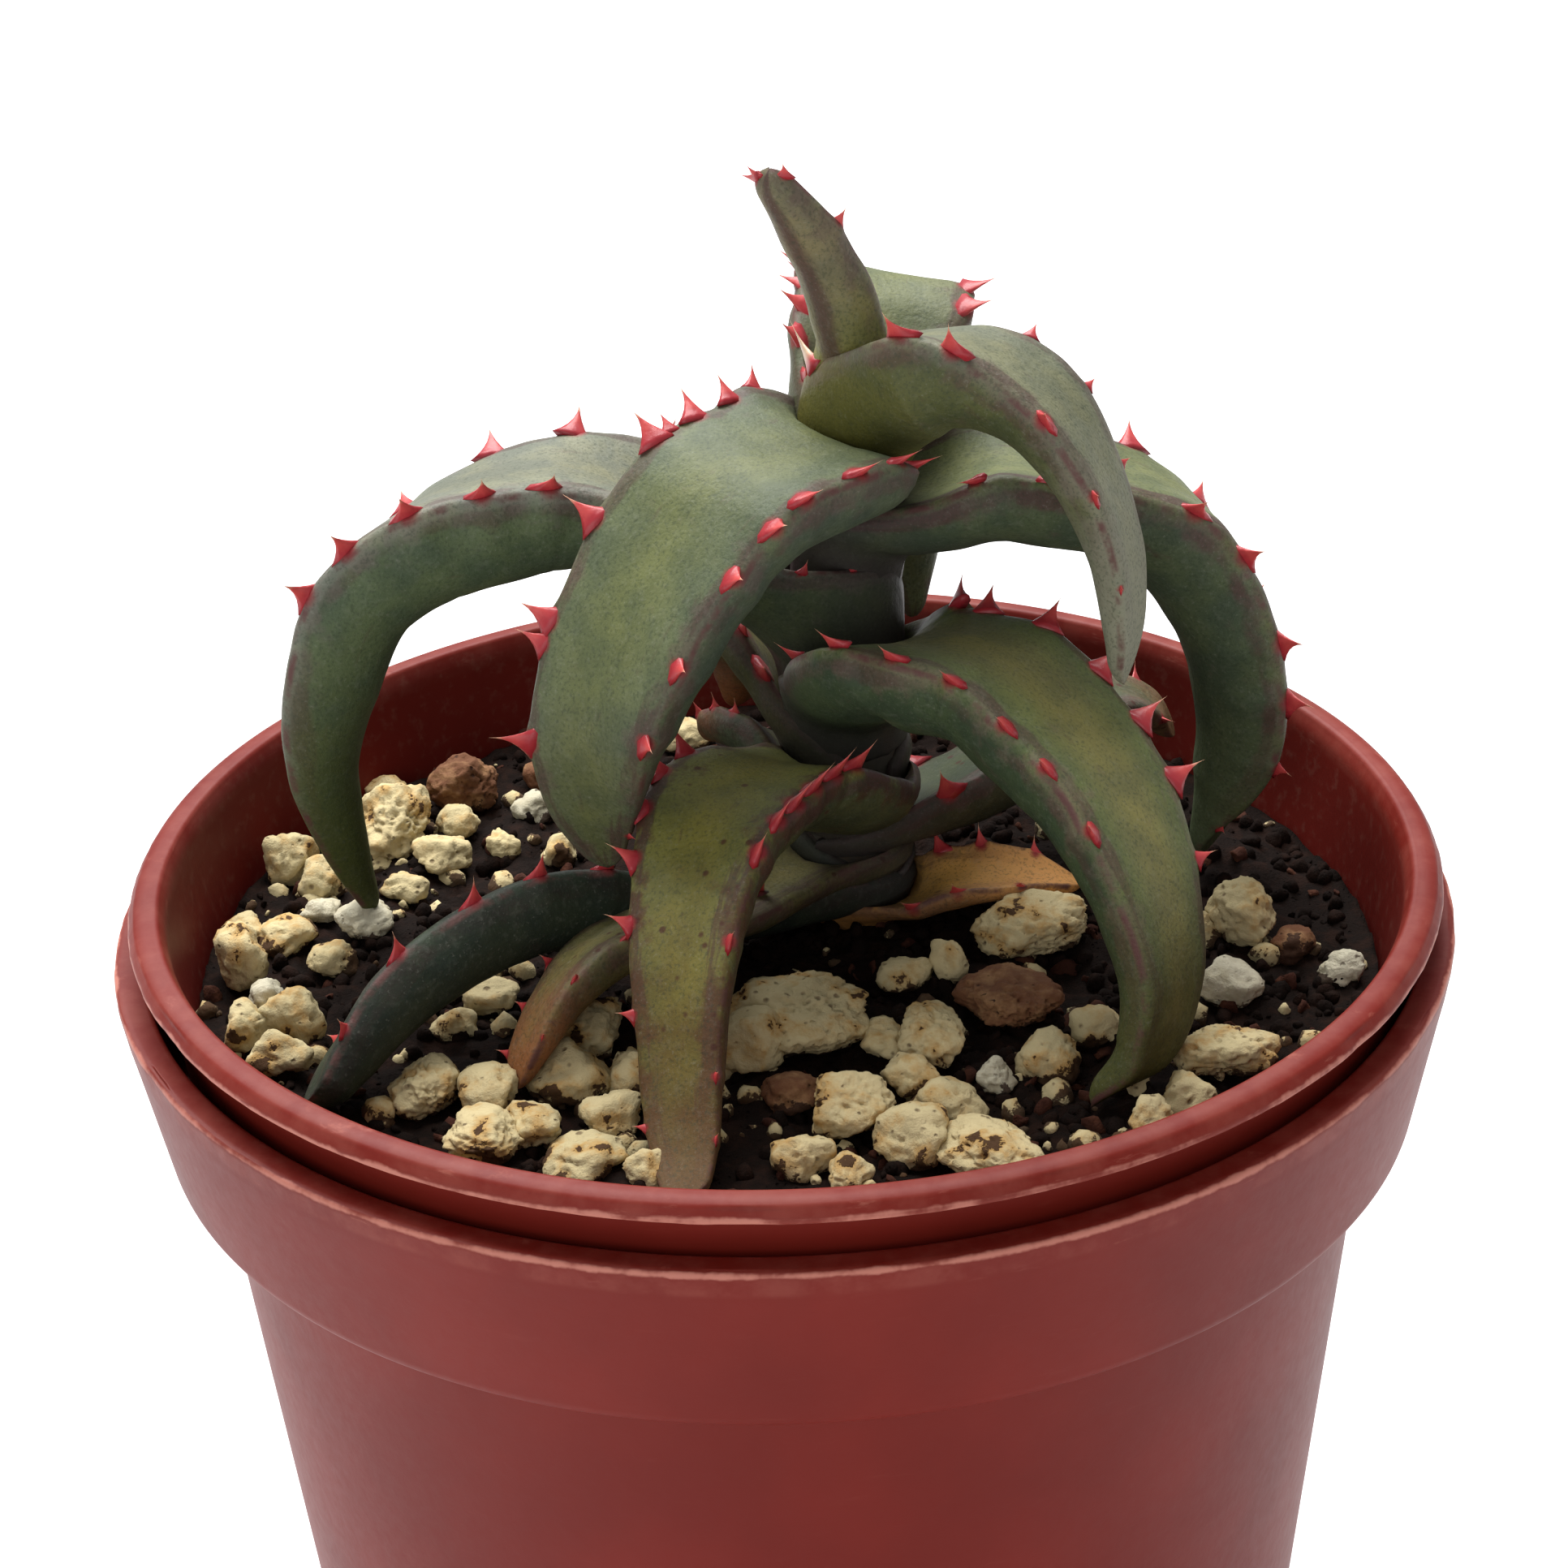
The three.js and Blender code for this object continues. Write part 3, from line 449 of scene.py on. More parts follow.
def rim_corners(size, top):
    """The rim's outside: a rounded lip over a step, or a flare that runs up to the edge."""
    if size["rim"] - size["collar_top"] > 1.0:
        return [(size["collar_top"], top - RIM_DROP, 0.25), (size["rim"] - 0.1, top - RIM_DROP, 0.15),
                (size["rim"], top - 1.2, 0.3), (size["rim"] - 0.5, top - 0.4, 0.5),
                (size["rim"] - 1.3, top - 0.05, 0.5)]
    return [(size["collar_top"] - 0.15, top - 4.0, 1.2), (size["rim"], top - 0.5, 0.3),
            (size["rim"] - 0.1, top - 0.1, 0.15), (size["rim"] - 0.5, top, 0.3)]


def pot_outline(size):
    """Radius, height and corner rounding, from the foot up the outside and down the inside."""
    top = POT_HEIGHT
    foot = top - COLLAR_DEPTH
    lip = size["rim"] - RIM_WIDTH
    return [
        (FLOOR_MIDDLE, 0.0, 0.0),
        (size["body_foot"] - 0.8, 0.0, 0.3),
        (size["body_foot"], 0.9, 0.6),
        (size["body_top"], foot, 0.5),
        (size["collar_foot"] - 1.0, foot + 0.1, 0.4),
        (size["collar_foot"], foot + 0.7, 0.6),
        *rim_corners(size, top),
        (lip + 0.1, top - 0.05, 0.3),
        (min(lip, size["collar_top"] - WALL) - 0.2, top - 1.2, 0.5),
        (size["collar_foot"] - WALL, foot + 1.8, 0.5),
        (size["body_top"] - WALL, foot + 1.0, 0.5),
        (size["body_foot"] - WALL + 0.2, FLOOR_THICKNESS, 0.6),
        (FLOOR_MIDDLE, FLOOR_THICKNESS, 0.0),
    ]


def rounded(outline, steps=3):
    """The outline with each corner replaced by a short curve between two points that hold it."""
    result = []
    for i, (r, z, reach) in enumerate(outline):
        corner = np.array([r, z])
        if reach == 0.0:
            result.append(corner)
            continue
        before = np.array(outline[i - 1][:2]) - corner
        after = np.array(outline[i + 1][:2]) - corner
        start = corner + before * min(0.4, reach / np.linalg.norm(before))
        end = corner + after * min(0.4, reach / np.linalg.norm(after))
        result.append(corner + (start - corner) * 1.2)
        for step in range(steps + 1):
            k = step / steps
            result.append(start * (1 - k) ** 2 + corner * 2 * k * (1 - k) + end * k * k)
        result.append(corner + (end - corner) * 1.2)
    return np.array(result)


outline_lengths = [len(rounded(pot_outline(size))) for size in (OUTER, INNER)]
print("points in the outlines:", outline_lengths)

# %% Turn the pots
POT_TURNS = 300
FLASH_GRAIN = 60
DRAIN_COUNT = 6
DRAIN_RADIUS = 4.5
DRAIN_CIRCLE = 26
DRAIN_SIDES = 48
LUG_ANGLES = (28, 118, 208, 298)
LUG_HALF_WIDTH = 3.0
LUG_INSET = 0.8
LUG_BEVEL = 0.3


def rim_flash(size, cosine, sine, r, z):
    """How far the rim's edge falls short of a true circle, in a few broad and many fine chips."""
    if z < POT_HEIGHT - RIM_DROP - 0.1 or r < size["rim"] - 0.5:
        return 0.0
    home = Vector((cosine * FLASH_GRAIN, sine * FLASH_GRAIN, size["rim"]))
    fine = noise.noise(home) * 0.5 + 0.5
    broad = noise.noise(home * 0.13)
    return -(0.03 + 0.12 * fine + 0.3 * max(0.0, broad - 0.22))


def turned_cup(size, lift, shift):
    """Points and faces of one pot without its holes."""
    outline = rounded(pot_outline(size))
    points = []
    for cosine, sine in spokes(POT_TURNS):
        for r, z in outline:
            r = r + rim_flash(size, cosine, sine, r, z)
            points.append((shift[0] + r * cosine, shift[1] + r * sine, z + lift))
    count = len(outline)
    faces = []
    for i in range(POT_TURNS):
        a = i * count
        b = (i + 1) % POT_TURNS * count
        faces += [(a + k + 1, b + k + 1, b + k, a + k) for k in range(count - 1)]
    for k, height in ((0, 0.0), (count - 1, FLOOR_THICKNESS)):
        closing = fan(len(points), [i * count + k for i in range(POT_TURNS)])
        faces += turned_over(closing) if k else closing
        points.append((shift[0], shift[1], height + lift))
    return points, faces


def drilled(mesh, lift, shift):
    """The pot's mesh with round holes cut through its floor."""
    piece = linked("pot_blank", mesh)
    cutter = bmesh.new()
    for i in range(DRAIN_COUNT):
        angle = (i + 0.5) / DRAIN_COUNT * 2 * math.pi
        x = shift[0] + DRAIN_CIRCLE * math.cos(angle)
        y = shift[1] + DRAIN_CIRCLE * math.sin(angle)
        where = Matrix.Translation(Vector((x, y, lift + FLOOR_THICKNESS / 2)) * MM)
        size = DRAIN_RADIUS * MM
        bmesh.ops.create_cone(cutter, segments=DRAIN_SIDES, radius1=size, radius2=size,
                              depth=4 * MM, cap_ends=True, matrix=where)
    drill_mesh = bpy.data.meshes.new("drill")
    cutter.to_mesh(drill_mesh)
    cutter.free()
    drill = linked("drill", drill_mesh)
    cut = piece.modifiers.new("holes", "BOOLEAN")
    cut.object = drill
    cut.operation = "DIFFERENCE"
    cut.solver = "EXACT"
    result = baked(piece)
    bpy.data.objects.remove(drill)
    return result


def lug_block(size, lift, shift, angle):
    """One block inside the collar, with its eight corners."""
    foot = POT_HEIGHT - COLLAR_DEPTH + lift
    turn = math.radians(angle)
    out = Vector((math.cos(turn), math.sin(turn), 0))
    side = Vector((-math.sin(turn), math.cos(turn), 0))
    near = size["body_top"] - LUG_INSET
    far = size["collar_foot"] - 0.4
    points = [Vector((shift[0], shift[1], z)) + out * r + side * s * LUG_HALF_WIDTH
              for z in (foot + 0.9, foot + INNER_LIFT - 0.3)
              for r, s in ((near, -1), (near, 1), (far, 1), (far, -1))]
    faces = [(0, 1, 2, 3), (7, 6, 5, 4), (0, 4, 5, 1), (1, 5, 6, 2), (2, 6, 7, 3), (3, 7, 4, 0)]
    return points, faces


def mark_inner_face(mesh):
    """Tells the plastic which points look towards the pot's axis."""
    places, normals = np.empty(len(mesh.vertices) * 3), np.empty(len(mesh.vertices) * 3)
    mesh.vertices.foreach_get("co", places)
    mesh.vertex_normals.foreach_get("vector", normals)
    places, normals = places.reshape(-1, 3)[:, :2], normals.reshape(-1, 3)[:, :2]
    inwards = -np.sum(unit(places) * normals, axis=1)
    layer = mesh.attributes.new("inner_face", "FLOAT", "POINT")
    layer.data.foreach_set("value", smooth_step(inwards * 2).astype(np.float32))


def finished_pot(name, size, lift, shift, material):
    """A drilled pot with its lugs, facing outwards everywhere."""
    points, faces = turned_cup(size, lift, shift)
    body = drilled(shaped(name + "_blank", points, faces), lift, shift)
    whole = bmesh.new()
    whole.from_mesh(body)
    bmesh.ops.recalc_face_normals(whole, faces=whole.faces)
    for angle in LUG_ANGLES:
        points, faces = lug_block(size, lift, shift, angle)
        corners = [whole.verts.new(point * MM) for point in points]
        sides = [whole.faces.new([corners[i] for i in face]) for face in faces]
        bmesh.ops.recalc_face_normals(whole, faces=sides)
        edges = list({edge for side in sides for edge in side.edges})
        bmesh.ops.bevel(whole, geom=edges, offset=LUG_BEVEL * MM, segments=2, affect="EDGES")
    whole.to_mesh(body)
    whole.free()
    body.shade_smooth()
    mark_inner_face(body)
    return place(name + "_moulded", body, [name], material)


POT_RED = (0.172, 0.0138, 0.0083, 1.0)
POTS = {
    "outer": {"size": OUTER, "lift": 0.0, "shift": (0.0, 0.0), "line": 0.0002},
    "inner": {"size": INNER, "lift": INNER_LIFT, "shift": INNER_SHIFT, "line": 0.0014},
}
for name, pot in POTS.items():
    looks = {"Body": POT_RED, "Rim height": (POT_HEIGHT + pot["lift"]) * MM,
             "Rim radius": pot["size"]["rim"] * MM, "Line drop": pot["line"], "Inside dust": 0.1}
    plastic = new_material(name + "_plastic", plastic_skin, looks, 0.00002, 0.16)
    moulded = finished_pot(name + "_pot", pot["size"], pot["lift"], pot["shift"], plastic)
    print(name, "pot triangles:", triangles(moulded.data))

# %% [markdown]
# ## Earth and stone colours
# Soil, pumice, white grit and clinker are all mottled and pitted, each in its own colours. One
# shared group gives all four: two colours in soft clouds, a darker third in the pits, partly dirt
# and partly painted shade in the hollows, earth-brown patches with more of them low down, and a
# height for the bump. A picture of gravel would repeat and stretch; noise in object space does
# neither.

# %% Make the earth and stone finishes
EARTH = linear(54, 33, 25)
PALER = (1.18, 1.16, 1.15, 1.0)
EARTH_FROM = 0.0872
EARTH_TO = 0.0846

stone_skin, given = new_skin("pitted_stone", ["Main", "Stain", "Pit"],
                             ["Stain amount", "Pit amount", "Coarseness", "Dirt"])
spot = object_place(stone_skin)
scaled = work("ShaderNodeVectorMath", {0: spot, "Scale": given["Coarseness"]}, operation="SCALE")
cloud = grain(scaled, 330.0, 4.0, 0.6)
tone = grain(scaled, 130.0, 2.0)
fine = grain(scaled, 2100.0, 3.0, 0.65)
lumpy = grain(spot, 330.0, 5.0, 0.62)
pores = work("ShaderNodeTexVoronoi", {"Vector": scaled, "Scale": 900.0})
hole = fade(pores + cloud * 0.9, 0.62, 0.4)
height = work("ShaderNodeSeparateXYZ", {"Vector": spot}, "Z")
# earth-brown patches from noise, with more of them lower down, below about 87 mm
brown_patches = fade(fade(height, EARTH_FROM, EARTH_TO) * 0.2 + lumpy, 0.61, 0.64) * given["Dirt"]

face = mix(fade(tone, 0.35, 0.7), given["Main"], PALER, "MULTIPLY")
face = mix(fade(cloud, 0.44, 0.68) * given["Stain amount"], face, given["Stain"])
# partly painted shade: the pits are darkened towards the Pit colour, as shade in the hollows, with
# some dirt in them
face = mix(hole * given["Pit amount"], face, given["Pit"])
face = mix(brown_patches, face, EARTH)
give(face, fine * 0.15 + 0.8, fine * 0.7 - hole * 0.8 + brown_patches * 0.6)

# Pit is each finish's colour in the pores: partly dirt and partly painted shade
STONE_FINISHES = {
    "soil": {"Main": (23, 16, 13), "Stain": (52, 32, 24), "Pit": (8, 6, 5),
             "Stain amount": 0.35, "Pit amount": 0.6, "Coarseness": 1.6},
    "bark": {"Main": (58, 32, 24), "Stain": (96, 58, 40), "Pit": (26, 16, 13),
             "Stain amount": 0.5, "Pit amount": 0.5, "Coarseness": 1.3},
    "pumice": {"Main": (190, 175, 134), "Stain": (178, 132, 62), "Pit": (92, 66, 44),
               "Stain amount": 0.85, "Pit amount": 0.7, "Coarseness": 1.0, "Dirt": 0.92},
    "white_grit": {"Main": (186, 180, 158), "Stain": (160, 148, 116), "Pit": (130, 122, 108),
                   "Stain amount": 0.5, "Pit amount": 0.3, "Coarseness": 1.2, "Dirt": 0.92},
    "clinker": {"Main": (104, 68, 46), "Stain": (176, 138, 96), "Pit": (38, 22, 16),
                "Stain amount": 0.55, "Pit amount": 0.85, "Coarseness": 1.0, "Dirt": 0.92},
}
STONE_GLOSS = {"soil": 0.06, "bark": 0.12}
finishes = {
    name: new_material(name + "_finish", stone_skin, values, 0.00022, STONE_GLOSS.get(name, 0.2))
    for name, values in STONE_FINISHES.items()
}
print("stone finishes:", ", ".join(finishes))

# %% [markdown]
# ## Soil
# The soil is a cake of dark peat that fills the inner pot up to a centimetre below its rim. Its top
# is rolled by the same gentle wave as the solid's and then broken up by finer noise. The top could
# be displaced by a texture in a modifier; doing it in code lets the crumbs below lie on it exactly.

# %% Shape the soil
SOIL_LEVEL = 84.3
SOIL_RISE = 0.6
SOIL_RINGS = 110
SOIL_SPOKES = 300
SOIL_GAP = 0.3


def wave(x, y, z):
    """A gentle repeatable unevenness, the same as in the frame's soil."""
    first = np.sin(x * 1.7 + y * 0.9) * np.cos(y * 1.3 - z * 1.1)
    return first + 0.5 * np.sin(z * 2.3 + x * 2.9)


def solid_soil_height(x, y):
    """The height of the frame's soil at a place."""
    heap = 0.5 * np.maximum(0, -y / 45) + 0.5 * np.maximum(0, -x / 45)
    return SOIL_LEVEL + heap + 0.35 * wave(x * 0.22, y * 0.22, 1.3)


def soil_height(x, y):
    """The same, raised a little and broken into clods and crumbs."""
    clods = noise.fractal(Vector((x * 0.2, y * 0.2, 3.0)), 0.9, 2.1, 3)
    crumbs = noise.ridged_multi_fractal(Vector((x * 0.55, y * 0.55, 8.0)), 0.8, 2.0, 3, 1.0, 2.0)
    return float(solid_soil_height(x, y)) + SOIL_RISE + 0.6 * clods + 0.42 * (crumbs - 1.2)


def soil_cake():
    """Points and faces of the soil: its sides from the floor up, then its top in rings."""
    middle_x, middle_y = INNER_SHIFT
    foot = POT_HEIGHT - COLLAR_DEPTH
    walls = [
        (INNER["body_foot"] - WALL + 0.2 - SOIL_GAP, FLOOR_THICKNESS + INNER_LIFT + SOIL_GAP),
        (INNER["body_top"] - WALL - SOIL_GAP, foot + 1.0 + INNER_LIFT + SOIL_GAP),
        (INNER["collar_foot"] - WALL - SOIL_GAP, foot + 1.8 + INNER_LIFT + SOIL_GAP),
    ]
    points = [(middle_x + r * cosine, middle_y + r * sine, z)
              for r, z in walls for cosine, sine in spokes(SOIL_SPOKES)]
    for ring in range(SOIL_RINGS):
        r = (walls[-1][0] + 0.35) * (1 - ring / SOIL_RINGS)
        for cosine, sine in spokes(SOIL_SPOKES):
            x, y = middle_x + r * cosine, middle_y + r * sine
            points.append((x, y, soil_height(x, y)))
    count = len(points)
    faces = ring_faces(len(walls) + SOIL_RINGS, SOIL_SPOKES)
    faces += fan(count, range(count - SOIL_SPOKES, count))
    faces += turned_over(fan(count + 1, range(SOIL_SPOKES)))
    points.append((middle_x, middle_y, soil_height(*INNER_SHIFT)))
    points.append((middle_x, middle_y, walls[0][1]))
    return points, faces


soil_points, soil_faces = soil_cake()
soil_mesh = shaped("soil_cake", soil_points, soil_faces)
place("soil_cake", soil_mesh, ["soil"], finishes["soil"])
print("triangles in the soil:", triangles(soil_mesh))

# %% [markdown]
# ## Loose crumbs
# Peat crumbs, bark chips and fine pumice lie on the soil by the thousand. They repeat, so a
# Geometry Nodes tree scatters them: it draws points on the soil's top where a density value on the
# surface allows, puts a small lump on each, turns and stretches it at random, roughens the lot by
# noise and realises them as real faces. A particle system would do the same.

# %% Build the scattering tree
LUMP_SIZES = ("Lumps per square metre", "Smallest", "Largest", "Flatness", "Roughness")
FULL_TURN = 6.28
LUMP_MIDDLE = 0.75
LUMP_GRAIN = 1100.0


def carried(tree, name, kind="FLOAT"):
    """A named value of the mesh that a Geometry Nodes tree works on."""
    return source(tree, "GeometryNodeInputNamedAttribute", 0, {"Name": name}, data_type=kind)


def scatter_tree():
    """A tree that strews rough lumps over a surface, by its named sizes."""
    tree, given = new_tree(
        "strewn_lumps", "GeometryNodeTree",
        {"Surface": "Geometry", **dict.fromkeys(LUMP_SIZES, "Float"), "Seed": "Int",
         "Finish": "Material"},
        {"Lumps": "Geometry"})
    seed = given["Seed"]
    often = carried(tree, "density") * given["Lumps per square metre"]
    points = work("GeometryNodeDistributePointsOnFaces",
                  {"Mesh": given["Surface"], "Density": often, "Seed": seed}, "Points")
    lump = source(tree, "GeometryNodeMeshIcoSphere", "Mesh", {"Radius": 1.0, "Subdivisions": 2})
    spin = work("FunctionNodeRandomValue",
                {"Min": (0.0, 0.0, 0.0), "Max": (FULL_TURN, FULL_TURN, FULL_TURN), "Seed": seed},
                data_type="FLOAT_VECTOR")
    size = work("FunctionNodeRandomValue",
                {2: given["Smallest"], 3: given["Largest"], "Seed": seed}, 1, data_type="FLOAT")
    scale = work("ShaderNodeCombineXYZ",
                 {"X": size, "Y": size * LUMP_MIDDLE, "Z": size * given["Flatness"]})
    strewn = work("GeometryNodeInstanceOnPoints",
                  {"Points": points, "Instance": lump, "Rotation": spin, "Scale": scale})
    real = work("GeometryNodeRealizeInstances", {"Geometry": strewn})
    where = source(tree, "GeometryNodeInputPosition")
    rough = work("ShaderNodeTexNoise", {"Vector": where, "Scale": LUMP_GRAIN, "Detail": 2.0}, 1)
    centred = work("ShaderNodeVectorMath", {0: rough, 1: (0.5, 0.5, 0.5)}, operation="SUBTRACT")
    pushed = work("ShaderNodeVectorMath", {0: centred, "Scale": given["Roughness"]},
                  operation="SCALE")
    moved = work("GeometryNodeSetPosition", {"Geometry": real, "Offset": pushed})
    smooth = work("GeometryNodeSetShadeSmooth", {"Geometry": moved})
    finished = work("GeometryNodeSetMaterial", {"Geometry": smooth, "Material": given["Finish"]})
    add(tree, "NodeGroupOutput", {"Lumps": finished})
    return tree


def set_inputs(modifier, tree, values):
    """Gives a Geometry Nodes modifier its values by the sockets' identifiers."""
    modifier.node_group = tree
    for item in tree.interface.items_tree:
        if item.item_type == "SOCKET" and item.in_out == "INPUT" and item.name in values:
            modifier[item.identifier] = values[item.name]


strewn_lumps = scatter_tree()
print("scattering tree nodes:", len(strewn_lumps.nodes))

# %% Strew the crumbs
CRUMB_REACH = 46.4


def everywhere(x, y):
    """As thick at any place."""
    return 1.0


def gravelly(x, y):
    """Where the gravel lies thick: at the front and on the left, hardly any at the back right."""
    front = float(smooth_step((8 - y) / 34))
    left = float(smooth_step((-x - 6) / 30))
    return min(1.0, 0.12 + 0.75 * front + 0.6 * left)


CRUMBS = {
    "peat_crumbs": ["soil", "soil", everywhere, 4, (250000.0, 0.0002, 0.0011, 0.7, 0.0009)],
    "bark_chips": ["clinker", "bark", everywhere, 9, (30000.0, 0.0003, 0.0014, 0.45, 0.0013)],
    "fine_pumice": ["pumice", "pumice", gravelly, 21, (70000.0, 0.0002, 0.0008, 0.75, 0.0008)],
    "small_pumice": ["pumice", "pumice", gravelly, 33, (26000.0, 0.0008, 0.0017, 0.8, 0.0012)],
}


def soil_top(density):
    """The soil's top faces as a mesh that carries a density for scattering."""
    count = SOIL_RINGS * SOIL_SPOKES
    start = len(soil_points) - 2 - count
    points = soil_points[start:start + count]
    faces = [tuple(i - start for i in f) for f in soil_faces
             if min(f) >= start and max(f) < start + count]
    amounts = []
    for x, y, _ in points:
        reach = math.hypot(x - INNER_SHIFT[0], y - INNER_SHIFT[1])
        amounts.append(density(x, y) if reach < CRUMB_REACH else 0.0)
    return shaped("soil_top", points, faces, {"density": amounts})


for name, (slot, finish, density, seed, sizes) in CRUMBS.items():
    ground = linked(name + "_ground", soil_top(density))
    strew = ground.modifiers.new("strew", "NODES")
    set_inputs(strew, strewn_lumps,
               {**dict(zip(LUMP_SIZES, sizes)), "Seed": seed, "Finish": finishes[finish]})
    lumps = baked(ground)
    place(name, lumps)
    print(name, "triangles:", triangles(lumps))

# %% [markdown]
# ## Gravel
# Each stone keeps the place and the size of its solid. Pumice is a frothy glass: rounded, lumpy and
# pocked with small holes. A stone could be sculpted, or a displaced cube, but a fine ball pushed in
# and out by three sizes of noise, with its hollows cut deeper, gives every stone its own face. A row
# of the table gives the place, the half width and the half height of one stone.

# %% Write down the stones
STONES = {
    "pumice": [
        [-32.6, 22.1, 3.3, 2.3], [-41.6, 16.8, 2.1, 1.9], [-38.5, 13.7, 1.9, 1.5],
        [-28.7, 17.6, 2.2, 1.5], [-31.5, 12.5, 1.7, 1.2], [-40.9, 4.5, 2.1, 1.5],
        [-44.2, 5.8, 2.0, 1.2], [-43.6, -1.6, 2.5, 2.4], [-36.6, 1.2, 1.9, 1.3],
        [-38.8, -10.4, 2.2, 2.1], [-42.2, -11.2, 2.0, 1.6], [-39.4, -16.2, 2.2, 1.6],
        [-27.7, -21.8, 2.7, 1.9], [-22.8, -22.4, 2.3, 1.5], [-23.4, -6.5, 2.0, 1.3],
        [-26.2, -10.5, 1.5, 1.1], [-16.1, -13.3, 2.8, 2.1], [-17.0, -19.5, 2.6, 1.9],
        [-19.4, -27.0, 2.5, 1.4], [-22.9, -29.2, 2.8, 1.3], [-15.4, -31.5, 2.5, 1.4],
        [-13.4, -25.7, 2.2, 1.5], [-12.2, -19.4, 2.0, 1.5], [-10.8, -34.0, 1.8, 1.3],
        [-3.0, -17.4, 2.6, 2.1], [1.0, -13.2, 5.2, 2.6], [7.4, -15.8, 1.8, 1.4],
        [11.2, -16.5, 2.7, 1.9], [9.1, -22.6, 2.0, 1.5], [12.1, -25.0, 2.4, 1.5],
        [4.6, -26.6, 3.1, 2.1], [0.8, -32.4, 2.0, 1.7], [9.1, -30.8, 2.6, 1.7],
        [14.8, -32.9, 3.5, 1.5], [4.0, -35.2, 1.9, 1.1], [20.0, -20.0, 2.4, 1.7],
        [9.6, -5.4, 2.0, 1.4], [13.2, -4.8, 1.5, 1.7], [20.4, 1.0, 4.3, 2.1],
        [23.9, -14.8, 2.0, 1.5], [37.5, 0.6, 2.7, 2.2], [33.4, 0.4, 1.8, 1.4],
        [33.2, -20.2, 3.1, 1.9], [29.8, -25.6, 2.0, 1.4], [26.5, -29.4, 1.7, 1.2],
        [17.4, 26.8, 2.2, 1.4], [-27.3, 23.8, 1.9, 1.2], [-23.7, 20.0, 1.5, 1.1],
        [-18.6, 18.4, 1.6, 1.1], [-8.1, 38.7, 1.9, 1.2], [-34.0, 30.6, 1.9, 1.1],
    ],
    "white_grit": [
        [-38.2, 9.3, 1.5, 1.1], [-34.4, 6.4, 2.3, 1.2], [-41.2, -6.4, 1.8, 1.4],
        [15.6, -22.2, 1.5, 1.2], [34.9, -9.5, 2.4, 1.7], [44.2, -6.4, 1.7, 1.2],
        [-21.4, 26.5, 1.6, 1.1],
    ],
    "clinker": [
        [17.4, -11.6, 3.5, 1.7], [-0.2, -23.2, 2.1, 1.3], [41.0, -2.0, 2.0, 1.0],
        [-26.8, 29.2, 2.8, 1.9], [-20.8, 31.6, 1.6, 1.2],
    ],
}
STONE_REST = 0.4
STONE_GROWTH = 1.14
STONE_SUNK = 0.2
STONE_SIDES = 11
STONE_SHARPNESS = 7
LARGE_STONE = 3.0
LINK_LIMIT = 7.5
print("stones:", sum(len(rows) for rows in STONES.values()))

# %% Shape the stones


def heaps(rows):
    """Stones that the frame joins in one node: pairs within reach, nearest first."""
    heap = list(range(len(rows)))
    pairs = [(math.hypot(a[0] - b[0], a[1] - b[1]), i, j)
             for i, a in enumerate(rows) for j, b in enumerate(rows[:i])]
    for distance, i, j in sorted(pairs):
        if distance < LINK_LIMIT and heap[i] != heap[j]:
            old, new = heap[i], heap[j]
            heap = [new if h == old else h for h in heap]
    names = list(dict.fromkeys(heap))
    return [[i for i, h in enumerate(heap) if h == name] for name in names]


def stone_points(row, number):
    """Points and faces of one stone, in millimetres: a blocky pebble with worn edges and pits."""
    x, y, half, high = row
    half, high = half * STONE_GROWTH, high * STONE_GROWTH
    ball = bmesh.new()
    fineness = 5 if half > LARGE_STONE else 4
    bmesh.ops.create_icosphere(ball, subdivisions=fineness, radius=1.0)
    home = Vector((x * 7.3 + number, y * 5.1, number * 3.7))
    draw = np.random.default_rng(1000 + number * 17 + int(abs(x) * 10))
    sides = unit(draw.normal(size=(STONE_SIDES, 3)))
    reach = draw.uniform(0.72, 1.0, STONE_SIDES)
    depth = half * draw.uniform(0.78, 0.98)
    turn = draw.uniform(0, 2 * math.pi)
    cosine, sine = math.cos(turn), math.sin(turn)
    points = []
    for vert in ball.verts:
        v = vert.co
        facing = np.maximum(0.1, sides @ np.array(v)) / reach
        worn = float(np.sum(facing ** STONE_SHARPNESS)) ** (-1 / STONE_SHARPNESS)
        lumps = noise.fractal(v * 1.6 + home, 1.0, 2.0, 2)
        froth = noise.noise(v * half * 2.4 + home)
        dents = max(0.0, noise.noise(v * half * 1.5 - home) - 0.15)
        size = min(worn, 1.15) + 0.15 * lumps + 0.07 * froth - 0.34 * dents
        px, py = v.x * size * half, v.y * size * depth
        points.append((x + px * cosine - py * sine, y + px * sine + py * cosine, v.z * size * high))
    faces = [tuple(v.index for v in f.verts) for f in ball.faces]
    ball.free()
    points = np.array(points)
    rest = float(solid_soil_height(x, y)) + STONE_REST - STONE_SUNK * high
    points[:, 2] += rest - points[:, 2].min()
    return points, faces


def joined(parts):
    """Several points-and-faces pairs as one."""
    points, faces = [], []
    for more_points, more_faces in parts:
        faces += [tuple(i + len(points) for i in f) for f in more_faces]
        points += list(more_points)
    return points, faces


for kind, rows in STONES.items():
    total = 0
    for number, members in enumerate(heaps(rows), start=1):
        points, faces = joined(stone_points(rows[i], i) for i in members)
        node = f"{kind}_{number}"
        mesh = shaped(node + "_stones", points, faces)
        total += triangles(mesh)
        place(node + "_stones", mesh, [node], finishes[kind])
    print(kind, "heaps:", number, "triangles:", total)
